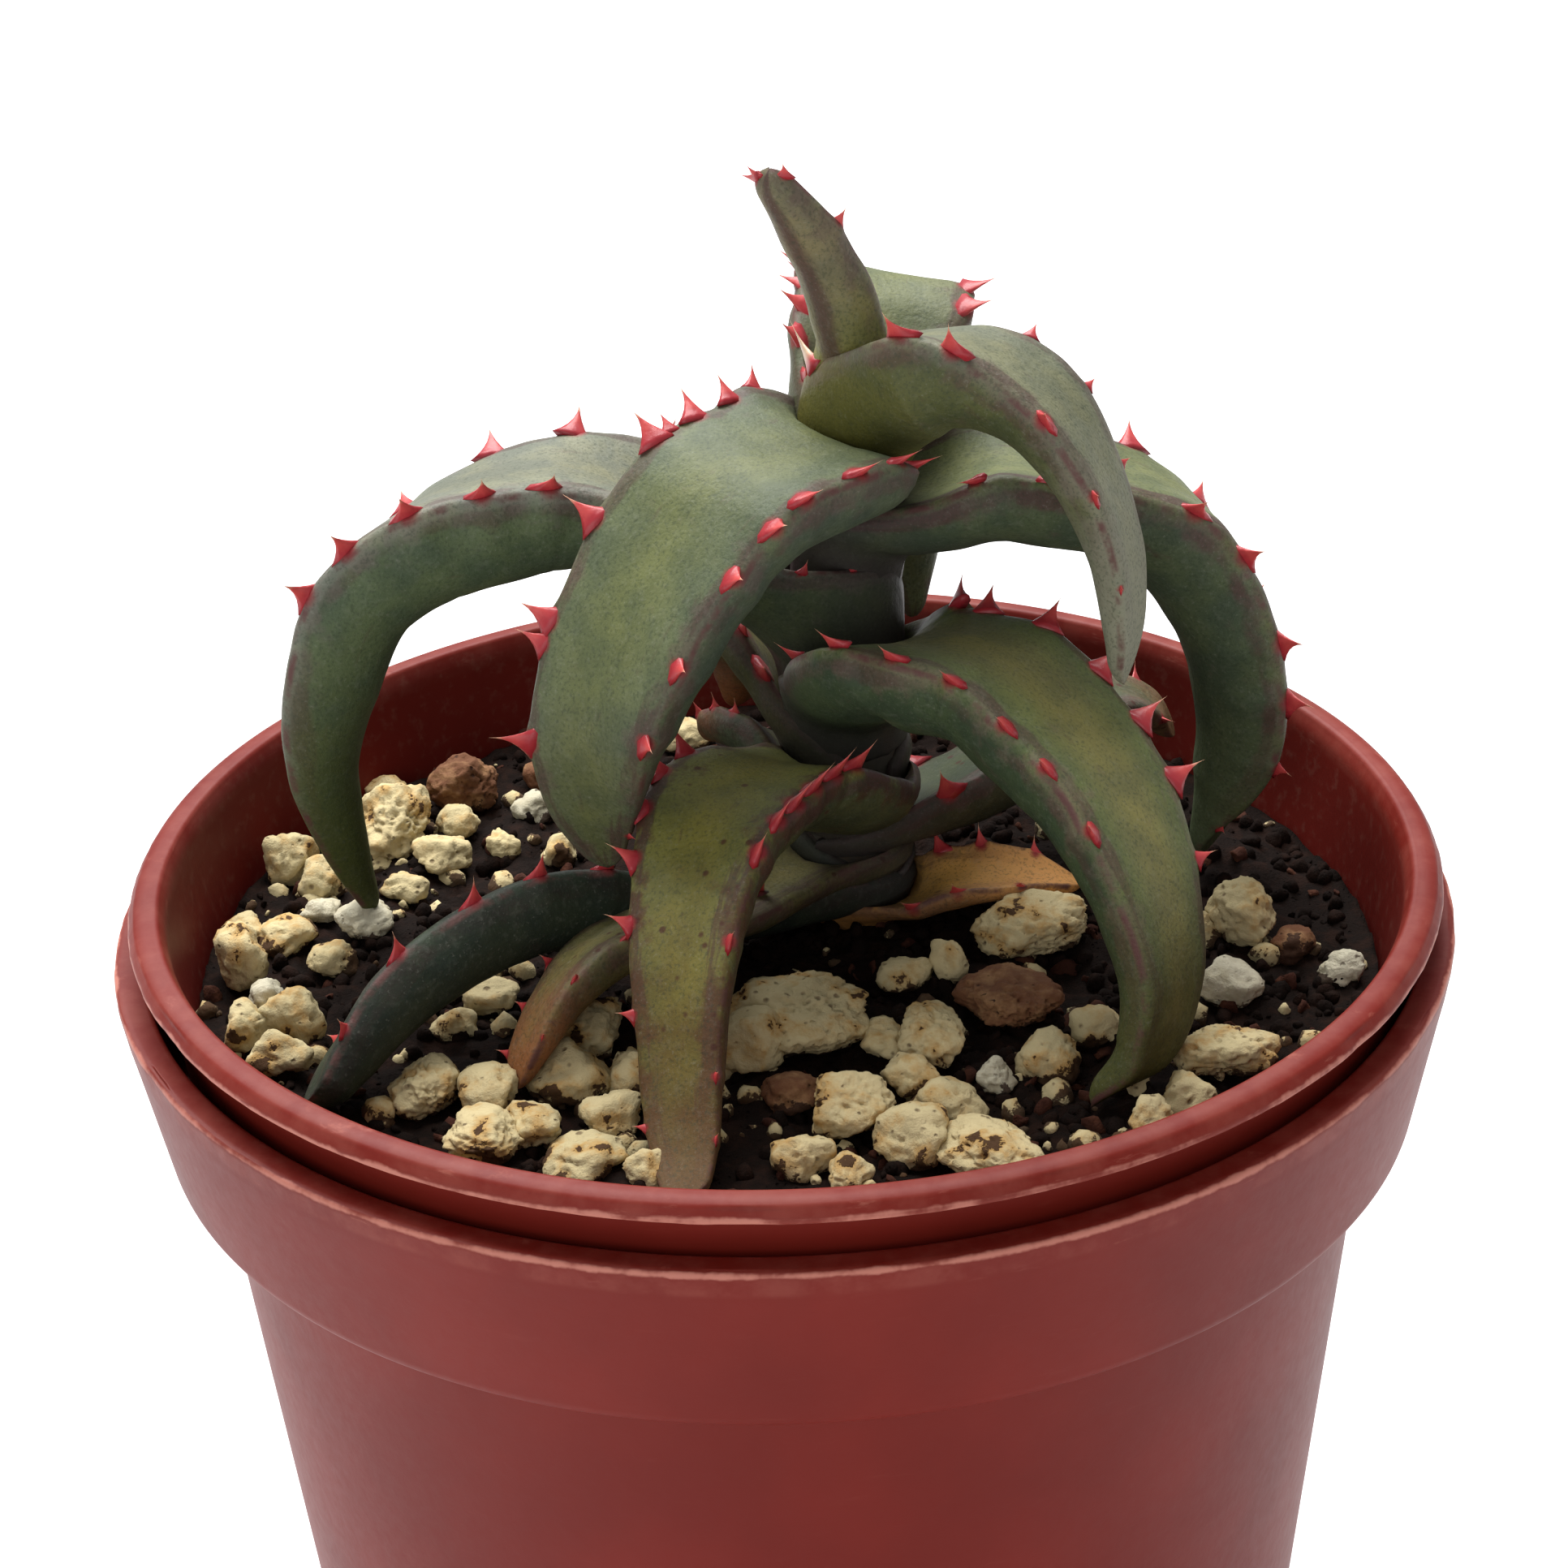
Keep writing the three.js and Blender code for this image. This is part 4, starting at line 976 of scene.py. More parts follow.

# %% [markdown]
# ## Leaf skin
# The leaves are waxy and grey-green, olive along the middle, with purple stains towards their
# margins and along the keel below, a fine speckle all over and a red glow round each thorn. A young
# leaf is fresh yellow-green towards its foot, and an old one turns rust brown from the tip. The same
# input tints the tips of a few others, and on two of them it is painted light: a paler tip where
# the leaf lies in shade. Each point of a leaf knows how far it is across and along, on which face,
# and how near a thorn, so one group can lay all of this on any leaf, and each leaf gives it its
# own colours.

# %% Make the leaf skin
THORN_GLOW = linear(134, 38, 44)
MARGIN_LINE = linear(92, 62, 58)
BLOOM = linear(150, 152, 140)
DARK_SPECK = linear(48, 58, 44)
SPOT_BROWN = linear(70, 38, 30)
SHADED, SUNLIT = (0.8, 0.84, 0.86, 1.0), (1.16, 1.13, 0.98, 1.0)
DIM_LINE, CLEAR_LINE = (0.96, 0.96, 0.95, 1.0), (1.03, 1.03, 1.03, 1.0)
KEEL_AT = 0.15

leaf_skin, given = new_skin(
    "leaf_skin", ["Upper", "Middle", "Lower", "Blush", "Old", "Smear", "Foot"],
    ["Blush amount", "Middle amount", "Old from", "Old to", "Bloom amount", "Spots",
     "Smear amount", "Keel amount", "Fresh to"])
spot = object_place(leaf_skin)
across = from_surface(leaf_skin, "across")
along = from_surface(leaf_skin, "along")
under = from_surface(leaf_skin, "underside")
inwards = from_surface(leaf_skin, "from_margin")
lengthwise = work("ShaderNodeCombineXYZ", {"X": across, "Y": along})
streaks = work("ShaderNodeMapping", {"Vector": lengthwise, "Scale": (4.0, 6.0, 1.0)})
streak = grain(streaks, 2.0, 4.0, 0.6)
patch = grain(streaks, 1.3, 4.0, 0.6)
cloud = grain(spot, 230.0, 3.0, 0.55)
blotch = grain(spot, 420.0, 4.0, 0.6)
speckle = grain(spot, 3600.0, 2.0, 0.6)
cells = grain(spot, 1500.0, 3.0, 0.6)
spots = work("ShaderNodeTexVoronoi", {"Vector": spot, "Scale": 420.0})

middle = fade(abs(across) + cloud * 0.7, 1.25, 0.45) * given["Middle amount"]
toned = mix(fade(cloud, 0.36, 0.66), SHADED, SUNLIT)
lined = mix(fade(streak, 0.3, 0.7), DIM_LINE, CLEAR_LINE)
blush = fade(fade(inwards, 3.6, 0.2) * 0.3 + blotch, 0.6, 0.86) * given["Blush amount"]
band = fade(inwards, 0.1, 0.9) * fade(inwards, 2.6, 1.3)
smear = fade(band * 0.2 + patch, 0.6, 0.76) * given["Smear amount"]
keel = fade(abs(across + KEEL_AT), 0.6, 0.0) + patch * 0.8
keel = fade(keel, 0.6, 1.4) * under * given["Keel amount"]
# the tip tint: real ageing on most leaves, and painted light on two, where a paler tip stands in for
# light on a shaded tip
aged_and_lit = fade(along + blotch * 0.3 - 0.15, given["Old from"], given["Old to"])
edge = fade(inwards, 0.5, 0.1) * fade(blotch, 0.4, 0.65)
footing = fade(from_surface(leaf_skin, "foot"), 0.1, 0.9) * 0.78

face = mix(middle, given["Upper"], given["Middle"])
face = mix(under, face, given["Lower"])
face = mix(fade(along, given["Fresh to"], -0.2), face, given["Foot"])
face = mix(1.0, face, toned, "MULTIPLY")
face = mix(1.0, face, lined, "MULTIPLY")
face = mix(blush, face, given["Blush"])
face = mix(smear, face, given["Smear"])
face = mix(keel, face, given["Smear"])
face = mix(aged_and_lit, face, given["Old"])
face = mix(fade(cells, 0.5, 0.72) * given["Bloom amount"], face, BLOOM)
face = mix(fade(speckle, 0.6, 0.74) * 0.16, face, BLOOM)
face = mix(fade(speckle, 0.5, 0.32) * 0.42, face, DARK_SPECK)
face = mix(fade(spots, 0.16, 0.08) * given["Spots"], face, SPOT_BROWN)
face = mix(edge, face, MARGIN_LINE)
face = mix(footing, face, given["Foot"])
face = mix(fade(from_surface(leaf_skin, "thorn_glow"), 0.3, 0.85), face, THORN_GLOW)
give(face, cells * 0.25 + 0.42 + aged_and_lit * 0.12, cells * 0.6 + speckle * 0.25 + streak * 0.4)
print("leaf skin nodes:", len(leaf_skin.nodes))

# %% [markdown]
# ## Thorn skin
# A thorn is deep red where it grows out of the margin, coral in the middle and pale at its point.
# The value from root to point is carried by the thorn itself. One thorn has dried to bare horn, and
# a value on its root says so.

# %% Make the thorn skin
thorn_skin, given = new_skin("thorn_skin", ["Root", "Shaft", "Point", "Horn"])
rise = from_surface(thorn_skin, "rise")
speck = grain(object_place(thorn_skin), 1500.0, 3.0)
wavering = rise + speck * 0.25
dry = from_surface(thorn_skin, "horn") * fade(rise, 0.15, 0.4)
face = mix(fade(wavering, 0.25, 0.65), given["Root"], given["Shaft"])
face = mix(fade(wavering, 0.75, 1.05), face, given["Point"])
give(mix(dry, face, given["Horn"]), speck * 0.2 + 0.3, speck)
thorn_looks = {"Root": (158, 40, 48), "Shaft": (196, 72, 70), "Point": (222, 172, 138),
               "Horn": (206, 176, 146)}
thorn_finish = new_material("thorn_finish", thorn_skin, thorn_looks, 0.00005, 0.4)
print("thorn skin nodes:", len(thorn_skin.nodes))

# %% [markdown]
# ## Thorns
# The thorns stand along both margins, so a Geometry Nodes tree plants them. A leaf's mesh comes in
# with loose points at the thorn roots, each with an outward and a growing direction. The tree takes
# those points out, puts a flattened, slightly hooked cone on each, and joins the cones to the blade.
# Modelling each thorn by hand would take days and gain nothing.

# %% Build the thorn tree
THORN_LENGTH = 2.75
THORN_ROOT = 1.8
THORN_HALF_THICKNESS = 0.62
THORN_HOOK = 0.45
THORN_HOLLOW = 1.25
THORN_SINK = 0.9
THORN_LEAN = -0.25
THORN_RISE = 30


def thorn_tree():
    """A tree that plants a thorn on each loose point of a leaf."""
    tree, given = new_tree(
        "planted_thorns", "GeometryNodeTree",
        {"Leaf": "Geometry", "Length": "Float", "Root": "Float", "Half thickness": "Float",
         "Hook": "Float", "Finish": "Material"},
        {"Leaf with thorns": "Geometry"})
    is_root = maths("GREATER_THAN", carried(tree, "thorn_size"), 0.01)
    parted = add(tree, "GeometryNodeSeparateGeometry",
                 {"Geometry": given["Leaf"], "Selection": is_root}, domain="POINT")
    cone = source(tree, "GeometryNodeMeshCone", "Mesh",
                  {"Vertices": 8, "Side Segments": 6, "Fill Segments": 1, "Radius Top": 0.0,
                   "Radius Bottom": 1.0, "Depth": 1.0}, fill_type="TRIANGLE_FAN")
    where = source(tree, "GeometryNodeInputPosition")
    parts = add(tree, "ShaderNodeSeparateXYZ", {"Vector": where}).outputs
    x, y, z = [Signal(tree, part) for part in parts]
    left_over = maths("MAXIMUM", maths("SUBTRACT", 1.0, z), 0.0)
    hollow = maths("POWER", left_over, THORN_HOLLOW)
    wide = x * hollow * given["Root"] + z * z * given["Hook"]
    thick = y * hollow * given["Half thickness"]
    formed = work("ShaderNodeCombineXYZ", {"X": wide, "Y": thick, "Z": z * given["Length"]})
    marked = work("GeometryNodeStoreNamedAttribute", {"Geometry": cone, "Name": "rise", "Value": z},
                  data_type="FLOAT", domain="POINT")
    thorn = work("GeometryNodeSetPosition", {"Geometry": marked, "Position": formed})
    facing = work("FunctionNodeAxesToRotation",
                  {0: carried(tree, "outward", "FLOAT_VECTOR"),
                   1: carried(tree, "growing", "FLOAT_VECTOR")},
                  primary_axis="Z", secondary_axis="X")
    planted = work("GeometryNodeInstanceOnPoints",
                   {"Points": parted.outputs["Selection"], "Instance": thorn,
                    "Rotation": facing, "Scale": carried(tree, "thorn_size")})
    real = work("GeometryNodeRealizeInstances", {"Geometry": planted})
    smooth = work("GeometryNodeSetShadeSmooth", {"Geometry": real})
    signed = work("GeometryNodeStoreNamedAttribute",
                  {"Geometry": smooth, "Name": "is_thorn", "Value": 1.0},
                  data_type="FLOAT", domain="FACE")
    both = add(tree, "GeometryNodeJoinGeometry")
    tree.links.new(signed.socket, both.inputs[0])
    tree.links.new(parted.outputs["Inverted"], both.inputs[0])
    whole = source(tree, "GeometryNodeRealizeInstances", 0, {"Geometry": both.outputs[0]})
    chosen = maths("GREATER_THAN", carried(tree, "is_thorn"), 0.5)
    finished = work("GeometryNodeSetMaterial",
                    {"Geometry": whole, "Selection": chosen, "Material": given["Finish"]})
    add(tree, "NodeGroupOutput", {"Leaf with thorns": finished})
    return tree


planted_thorns = thorn_tree()
print("thorn tree nodes:", len(planted_thorns.nodes))

# %% [markdown]
# ## Leaf shapes
# Each leaf is a bent blade. A row gives the middle of its upper face, its width and thickness, its
# roll and how many degrees its width is bent through, from the stem to the tip. These are the rows
# of the frame's leaves, except that two leaves are a little thicker near the stem, and a few small
# thorns are added there. A sheath gives the height of its foot, how far its rim stands above it, and
# for some leaves how much it swells, how its rim tilts and how far its front is filled. A thorn is a
# place from 0 to 1 along the right or left margin. A list adds its size, then the degrees that it
# rises and how far it leans to the tip. A leaf could be a curve with a taper, but a curve can't hold
# the channel, the roll and the swelling below a thorn.

# %% Write down the leaves
LEAVES = {
    "leaf_left_front": {
        "heading": -132, "sheath": [118.1, 6.3, 0.2, 1.6, 0.8],
        "rows": [
            [6.2, 8.6, 122.7, 10.5, 4.5, 0, 50], [4.9, 1.9, 129.4, 16, 6, -8, 36],
            [2.2, -2, 130.6, 15.7, 7, -6, 30], [-3.2, -6.8, 130.3, 15.5, 8, -3, 15],
            [-8.1, -9.8, 125.7, 15, 8, 1, 10], [-12, -12.3, 119.3, 14, 7.5, 3, 10],
            [-14.5, -13.3, 112.3, 11.5, 6.3, -1, 10], [-14.7, -11.8, 105.4, 8, 4.6, -15, 15],
            [-13.4, -9.4, 98.9, 2.2, 1.6, -34, 20],
        ],
        "right": [[0.12, 0.8], [0.225, 0.85], 0.31, [0.355, 0.6], 0.385, 0.51, 0.64, [0.67, 0.8],
                  0.8],
        "left": [[0.15, 0.8], [0.19, 0.8], [0.27, 0.9], [0.35, 0.9], [0.4, 0.9], [0.48, 0.85],
                 [0.61, 0.8], [0.715, 0.8], [0.93, 0.7]],
    },
    "leaf_right_front": {
        "heading": -45, "sheath": [100.0, 5.0],
        "rows": [
            [5.7, 9.1, 104.4, 10.5, 4.5, 0, 50], [8.5, 1, 111.5, 16, 5.4, -6, 70],
            [11.6, -2.2, 114.1, 15.2, 7.2, -6, 30], [17.6, -6, 114.1, 14.5, 7.6, -7, 15],
            [22.6, -10.9, 110.7, 14, 7.6, -10, 10], [25.9, -14.9, 107.1, 13.2, 6.8, -12, 10],
            [28.5, -19.4, 101.2, 11.2, 5.6, -13, 10], [29.5, -22.9, 94.5, 8.8, 4.6, -13, 10],
            [27.3, -25.2, 88.8, 5.6, 3.4, 0, 15], [22.6, -26, 85.7, 1.6, 1.3, 6, 20],
        ],
        "right": [[0.12, 0.7], [0.18, 0.8], [0.25, 0.8], [0.33, 0.8], [0.42, 0.8], [0.5, 0.75],
                  [0.6, 0.75]],
        "left": [0.14, 0.25, 0.325, 0.395, 0.47, 0.56, [0.65, 0.6]],
    },
    "leaf_right_back": {
        "heading": 7, "sheath": [113.0, 8.4, 0.0, 0.0, 0.95],
        "rows": [
            [6, 8.8, 117.4, 10.5, 4.5, 0, 50], [15.8, 8.8, 123.4, 14.7, 5.7, -5, 60],
            [22.7, 9, 123.7, 13.6, 6.7, -4, 25], [28.7, 9.5, 122.7, 13, 7.6, -1, 15],
            [34.7, 10, 118.9, 12.5, 7.8, -5, 10], [39.5, 10.5, 110.2, 12, 7.4, 1, 10],
            [40.8, 11, 100.2, 10.5, 6.6, 4, 10], [38.9, 11.5, 92.9, 8, 5.2, 15, 15],
            [34.8, 12, 86.5, 1.6, 1.3, 46, 20],
        ],
        "right": [[0.135, 0.7, 0, -1.2], [0.23, 0.9, 8, 0.9], 0.45, 0.535, 0.635, 0.7, [0.79, 0.6],
                  [0.93, 0.7]],
        "left": [0.3, 0.4, 0.53, 0.66, 0.78],
    },
    "leaf_left": {
        "heading": 187, "sheath": [104, 12.5, 0.3],
        "rows": [
            [5.7, 8.9, 111.6, 10.5, 4.5, 0, 50], [-7.4, 8.1, 122.0, 15.2, 6, -1, 60],
            [-15.6, 7, 125.8, 13.4, 8.2, 3, 25], [-22.1, 6, 125.5, 12.8, 8.5, 10, 15],
            [-28.4, 5, 123.4, 12.5, 8.1, 19, 10], [-33.9, 4, 118.4, 11.5, 7.0, 27, 10],
            [-37.0, 3.4, 110.8, 10.3, 6.2, 24, 10], [-38.1, 4, 102.5, 8.5, 4.8, 16, 10],
            [-36.7, 5.4, 94.2, 5.4, 3.4, 6, 15], [-34.1, 7.5, 86.5, 1.4, 1.2, 0, 20],
        ],
        "right": [0.12, 0.2, 0.31, 0.455, [0.6, 0.6]],
        "left": [[0.012, 0.4], [0.024, 0.4], [0.043, 0.4], 0.13, 0.255, 0.34, 0.43, 0.505, 0.565],
    },
    "leaf_front_low": {
        "heading": -113, "sheath": [92.9, 3.8], "thorn_rise": 48,
        "rows": [
            [5.7, 9.3, 96.4, 10.5, 4.5, 0, 50], [4.7, 1.7, 100.3, 13.6, 4.5, -7, 60],
            [-0.4, -4.2, 104.9, 13.1, 5.5, 0, 25], [-4.3, -11, 105.7, 12.2, 5.8, 2, 15],
            [-6.5, -16.9, 103.7, 10.8, 5.2, 12, 10], [-8.1, -23.9, 98.7, 8.6, 4.4, 12, 10],
            [-8.4, -29.4, 91.9, 6.6, 3.6, 10, 10], [-8.1, -33.6, 88.5, 5.2, 2.6, 8, 12],
            [-7.9, -38.2, 86.8, 3, 1.4, 4, 20],
        ],
        "right": [0.29, 0.35, 0.42, [0.5, 0.85], [0.58, 0.75], [0.68, 0.65], [0.82, 0.7]],
        "left": [0.22, 0.27, 0.32, 0.37, [0.43, 0.9], [0.5, 0.85], [0.61, 0.7], [0.76, 0.6],
                 [0.88, 0.6]],
    },
    "leaf_upper_right": {
        "heading": -35, "sheath": [123.4, 7.3, 1.1, 0.0, 0.25], "horn": 0.06,
        "rows": [
            [6.4, 8.5, 127.9, 9.5, 4.5, 0, 50], [8.5, 3.5, 134.8, 11.5, 7.2, 8, 60],
            [11.6, 2.3, 137.1, 11.1, 7.8, -12, 30], [15.6, 0.9, 137.5, 11.1, 7.2, -13, 20],
            [19.8, -1, 135.9, 10.5, 6.2, -9, 15], [23.2, -2.9, 132.9, 9.8, 5.2, -12, 10],
            [25.9, -4.9, 127.8, 8.2, 4.2, -15, 10], [27.5, -6.1, 122, 6.2, 3.4, -12, 10],
            [27.6, -6.9, 116.2, 4.2, 2.6, -8, 12], [26.7, -7.2, 111.8, 1.2, 1.2, -4, 20],
        ],
        "right": [[0.06, 1.4], 0.245, [0.345, 1, 45], [0.545, 0.85], [0.67, 0.7], [0.81, 0.6]],
        "left": [[0.41, 0.5], [0.54, 0.4], [0.66, 0.4]],
    },
    "leaf_top_back": {
        "heading": 78, "sheath": [121, 8.2, 0.7],
        "rows": [
            [6.3, 8.5, 125.7, 10, 4.5, 0, 50], [8.5, 14, 130.5, 12, 5, 22, 60],
            [10.1, 20.1, 134.3, 13.4, 6.5, 10, 12], [10.2, 26.7, 133.6, 13.7, 6.8, 8, 1],
            [10.4, 33.8, 126.0, 12, 6.4, 4, 10], [11.3, 37.8, 115.5, 9.1, 5.4, -10, 10],
            [12.0, 38.4, 105.6, 5.5, 3.8, -20, 12], [12.2, 37.5, 97.7, 1.4, 1.2, -30, 20],
        ],
        "right": [0.275, 0.335, 0.7, 0.83],
        "left": [[0.07, 0.7, 0, 0], [0.14, 1, 0, 0], [0.2, 1, 0, 0], [0.27, 0.9, 0, 0], 0.36, 0.5,
                 0.64],
    },
    "leaf_top_upright": {
        "heading": -105, "sheath": [127.0, 3.2],
        "rows": [
            [6.6, 8.4, 130, 6, 4, 0, 50], [7.3, 5.4, 136.2, 5.0, 3.2, -15, 50],
            [5.9, 4.5, 141.7, 5.0, 3.0, -8, 40], [3.8, 2.7, 146.7, 4.2, 2.6, -7, 30],
            [2.0, 1.4, 149.7, 3.2, 2.0, -3, 30], [1.1, 0.6, 151.4, 2.3, 1.5, -8, 20],
        ],
        "right": [[0.92, 1.1, 0, 0.1], [0.97, 0.85, 0, 2.4]],
        "left": [[0.57, 1.2, 10, 0.6], [0.95, 0.85, 0, 2.2]],
    },
    "leaf_left_low": {
        "heading": 213, "sheath": [86.3, 2.0],
        "rows": [
            [5.8, 9.6, 88.5, 9, 3.4, 0, 50], [-2.7, 2, 90.4, 8.6, 4, 15, 40],
            [-11.3, -2.1, 93.2, 8.4, 4.8, 34, 20], [-18.7, -7.1, 96.2, 8.4, 5.2, 42, 15],
            [-25.3, -12, 96.2, 8.2, 5.2, 46, 10], [-31.1, -17.5, 94.2, 7.4, 4.8, 48, 10],
            [-34.6, -21.5, 90.8, 6.4, 3.8, 38, 12], [-36.3, -25.0, 88.3, 4, 2.4, 30, 20],
        ],
        "right": [0.28, 0.4, 0.58, 0.69, 0.82],
        "left": [0.17, [0.3, 0.7], 0.38, 0.47, 0.57, 0.69, [0.83, 0.8]],
    },
    "leaf_front_left_small": {
        "heading": 222, "sheath": [89.4, 2.0],
        "rows": [
            [5.8, 9.6, 91.4, 8, 3, 0, 50], [-4.2, -3, 92.6, 7.7, 3, -10, 40],
            [-10.3, -10, 95, 7.6, 3.6, 12, 20], [-14.7, -14, 95.1, 7.2, 3.6, 22, 15],
            [-18, -17.5, 93.2, 5.8, 3.2, 26, 12], [-20.2, -20.4, 89.9, 3.8, 2.4, 14, 15],
            [-21, -22, 86.8, 1.3, 1.2, -2, 20],
        ],
        "right": [[0.39, 0.7], [0.58, 0.8], [0.73, 0.8], [0.88, 0.8]],
        "left": [[0.48, 0.6], [0.64, 0.6], [0.8, 0.5]],
    },
    "leaf_right_small": {
        "heading": 2, "sheath": [84.6, 1.6],
        "rows": [
            [5.9, 9.6, 87.0, 7, 1.6, 0, 50], [9.6, 6, 87.3, 7.5, 1.8, 1, 60],
            [13.4, 4.9, 89.0, 7.5, 2, 2, 70], [17.4, 4.8, 89.5, 6.4, 1.8, 8, 70],
            [21.2, 5.1, 89.2, 4.2, 1.6, 9, 60], [24.6, 5.5, 88.0, 1.3, 1.2, 1, 20],
        ],
        "right": [0.3, 0.45, 0.68],
        "left": [0.38, 0.56, 0.78],
    },
    "leaf_back_left": {
        "heading": 118, "sheath": [96.8, 3.1],
        "rows": [
            [5.7, 9.2, 99.6, 9, 3.6, 0, 50], [0.5, 14.1, 105.8, 9.2, 3.8, 34, 40],
            [-2.2, 18.4, 108.7, 8.1, 4.2, 22, 25], [-3, 22.4, 105.7, 7.4, 4.2, -15, 12],
            [-3.4, 24.9, 100.1, 5.4, 3.4, -21, 10], [-3.8, 25.5, 95.7, 1.5, 1.3, -22, 20],
        ],
        "right": [0.22, 0.4, 0.6],
        "left": [0.17, 0.25, 0.34, 0.48, 0.64],
    },
    "leaf_right_low": {
        "heading": 38, "sheath": [91.5, 1.4],
        "rows": [
            [5.8, 9.4, 92.8, 9, 3.4, 0, 50], [11.1, 11.8, 93.6, 11.4, 4, -18, 50],
            [16.5, 14.9, 95.2, 10.6, 5, -22, 20], [22.9, 19, 97.3, 9, 4.6, -17, 10],
            [28.6, 23, 97.1, 7, 3.8, 4, 10], [32.7, 26.5, 93.9, 4.5, 2.8, 31, 12],
            [34.4, 28, 89.9, 1.4, 1.2, 58, 20],
        ],
        "right": [0.19, 0.37, 0.55, 0.8],
        "left": [0.25, 0.39, 0.58, 0.8],
    },
    "leaf_back_small": {
        "heading": 128, "sheath": [88.4, 0.9],
        "rows": [
            [5.7, 9.4, 92.0, 6, 2.4, 0, 40], [0.9, 14.3, 96.5, 6.6, 2.8, 40, 40],
            [-1.8, 17.9, 97.6, 6, 2.8, 39, 20], [-4.5, 20.9, 96.7, 4, 2.2, 38, 15],
            [-6.2, 23, 94.6, 1.3, 1.2, 14, 20],
        ],
        "right": [0.45, 0.63, 0.78],
        "left": [0.46, 0.62, 0.78],
    },
}
thorn_count = sum(len(leaf["left"]) + len(leaf["right"]) for leaf in LEAVES.values())
print("leaves:", len(LEAVES), "thorns:", thorn_count)

# %% [markdown]
# ## Leaf surfaces
# A smooth curve runs through a leaf's rows, and a cross-section is laid across it at each of many
# places: a shallow channel above, a full belly below and a rounded margin where they meet. The
# margin swells out a little below each thorn. Each point keeps its place across and along the leaf
# for the colours. Towards the stem the blade goes over into a sheath that clasps it.

# %% Run through the rows
LEAF_PLACES = 150
UPPER_POINTS = 19
LOWER_POINTS = 15
SMALLEST_THORN = 0.55
FULL_THORN_WIDTH = 10
THORN_INSET = 0.97
THORN_DEPTH = 0.4
STEM = np.array([
    [6.2, 10.4, 66, 3.2],
    [6.0, 10.0, 78, 4.4],
    [5.8, 9.5, 90, 4.4],
    [5.6, 9.0, 110, 4.2],
    [6.2, 8.6, 122, 3.8],
    [6.6, 8.4, 131, 2.4],
])


def stem_at(z):
    """Middle and radius of the stem at a height."""
    return [np.interp(z, STEM[:, 2], STEM[:, k]) for k in (0, 1, 3)]


def along_rows(rows, places):
    """A smooth curve through rows of numbers, at places from 0 to 1."""
    rows = np.asarray(rows, dtype=float)
    padded = np.vstack([2 * rows[0] - rows[1], rows, 2 * rows[-1] - rows[-2]])
    reach = np.clip(np.asarray(places) * (len(rows) - 1), 0, len(rows) - 1 - 1e-9)
    i = reach.astype(int)
    k = (reach - i)[:, None]
    a, b, c, d = padded[i], padded[i + 1], padded[i + 2], padded[i + 3]
    return 0.5 * (2 * b + (c - a) * k + (2 * a - 5 * b + 4 * c - d) * k ** 2
                  + (3 * b - a - 3 * c + d) * k ** 3)


def leaf_frames(leaf, places):
    """Rows, growing, side and face directions at places along a leaf."""
    places = np.asarray(places, dtype=float)
    rows = along_rows(leaf["rows"], places)
    ahead = along_rows(leaf["rows"], np.minimum(places + 0.001, 1))[:, :3]
    behind = along_rows(leaf["rows"], np.maximum(places - 0.001, 0))[:, :3]
    growing = unit(ahead - behind)
    heading = math.radians(leaf["heading"])
    across = np.array([-math.sin(heading), math.cos(heading), 0.0])
    across = unit(across - (growing @ across)[:, None] * growing)
    up = np.cross(growing, across)
    roll = np.radians(rows[:, 5])[:, None]
    side = across * np.cos(roll) + up * np.sin(roll)
    face = up * np.cos(roll) - across * np.sin(roll)
    return rows, growing, side, face


def thorn_roots(leaf):
    """Place, outward and growing direction and size of each thorn of a leaf."""
    roots = []
    for hand, entries in ((-1, leaf["right"]), (1, leaf["left"])):
        usual = [1.0, leaf.get("thorn_rise", THORN_RISE), THORN_LEAN]
        entries = [e if isinstance(e, list) else [e] for e in entries]
        entries = [e + usual[len(e) - 1:] for e in entries]
        frames = leaf_frames(leaf, [entry[0] for entry in entries])
        for (at, share, rise, lean), row, growing, side, face in zip(entries, *frames):
            size = min(1.0, max(SMALLEST_THORN, row[3] / FULL_THORN_WIDTH)) * share
            bend = math.radians(max(row[6], 1)) / row[3]
            turn = bend * hand * row[3] / 2 * THORN_INSET
            margin = row[:3] + side * math.sin(turn) / bend
            margin = margin + face * ((1 - math.cos(turn)) / bend - THORN_DEPTH)
            outward = side * hand * math.cos(turn) + face * math.sin(abs(turn))
            rise = math.radians(rise)
            outward = outward * math.cos(rise) + face * math.sin(rise) + growing * lean
            roots.append({"margin": margin, "outward": unit(outward), "growing": growing,
                          "size": size, "hand": hand, "at": at,
                          "horn": float(at == leaf.get("horn"))})
    return roots


def outline_places():
    """Across positions of a section's points and which of them lie on the lower face."""
    upper = np.sin(np.linspace(-math.pi / 2, math.pi / 2, UPPER_POINTS))
    lower = np.sin(np.linspace(math.pi / 2, -math.pi / 2, LOWER_POINTS + 2))[1:-1]
    return np.concatenate([upper, lower]), np.repeat([0.0, 1.0], [UPPER_POINTS, LOWER_POINTS])


print("points in a section:", len(outline_places()[0]))

# %% Loft the blades
MARGIN_THICKNESS = 1.8
MARGIN_SHARE = 0.35
TIP_ROUNDING = 1.6
THORN_SWELL = 0.4
THORN_SWELL_REACH = 1.4


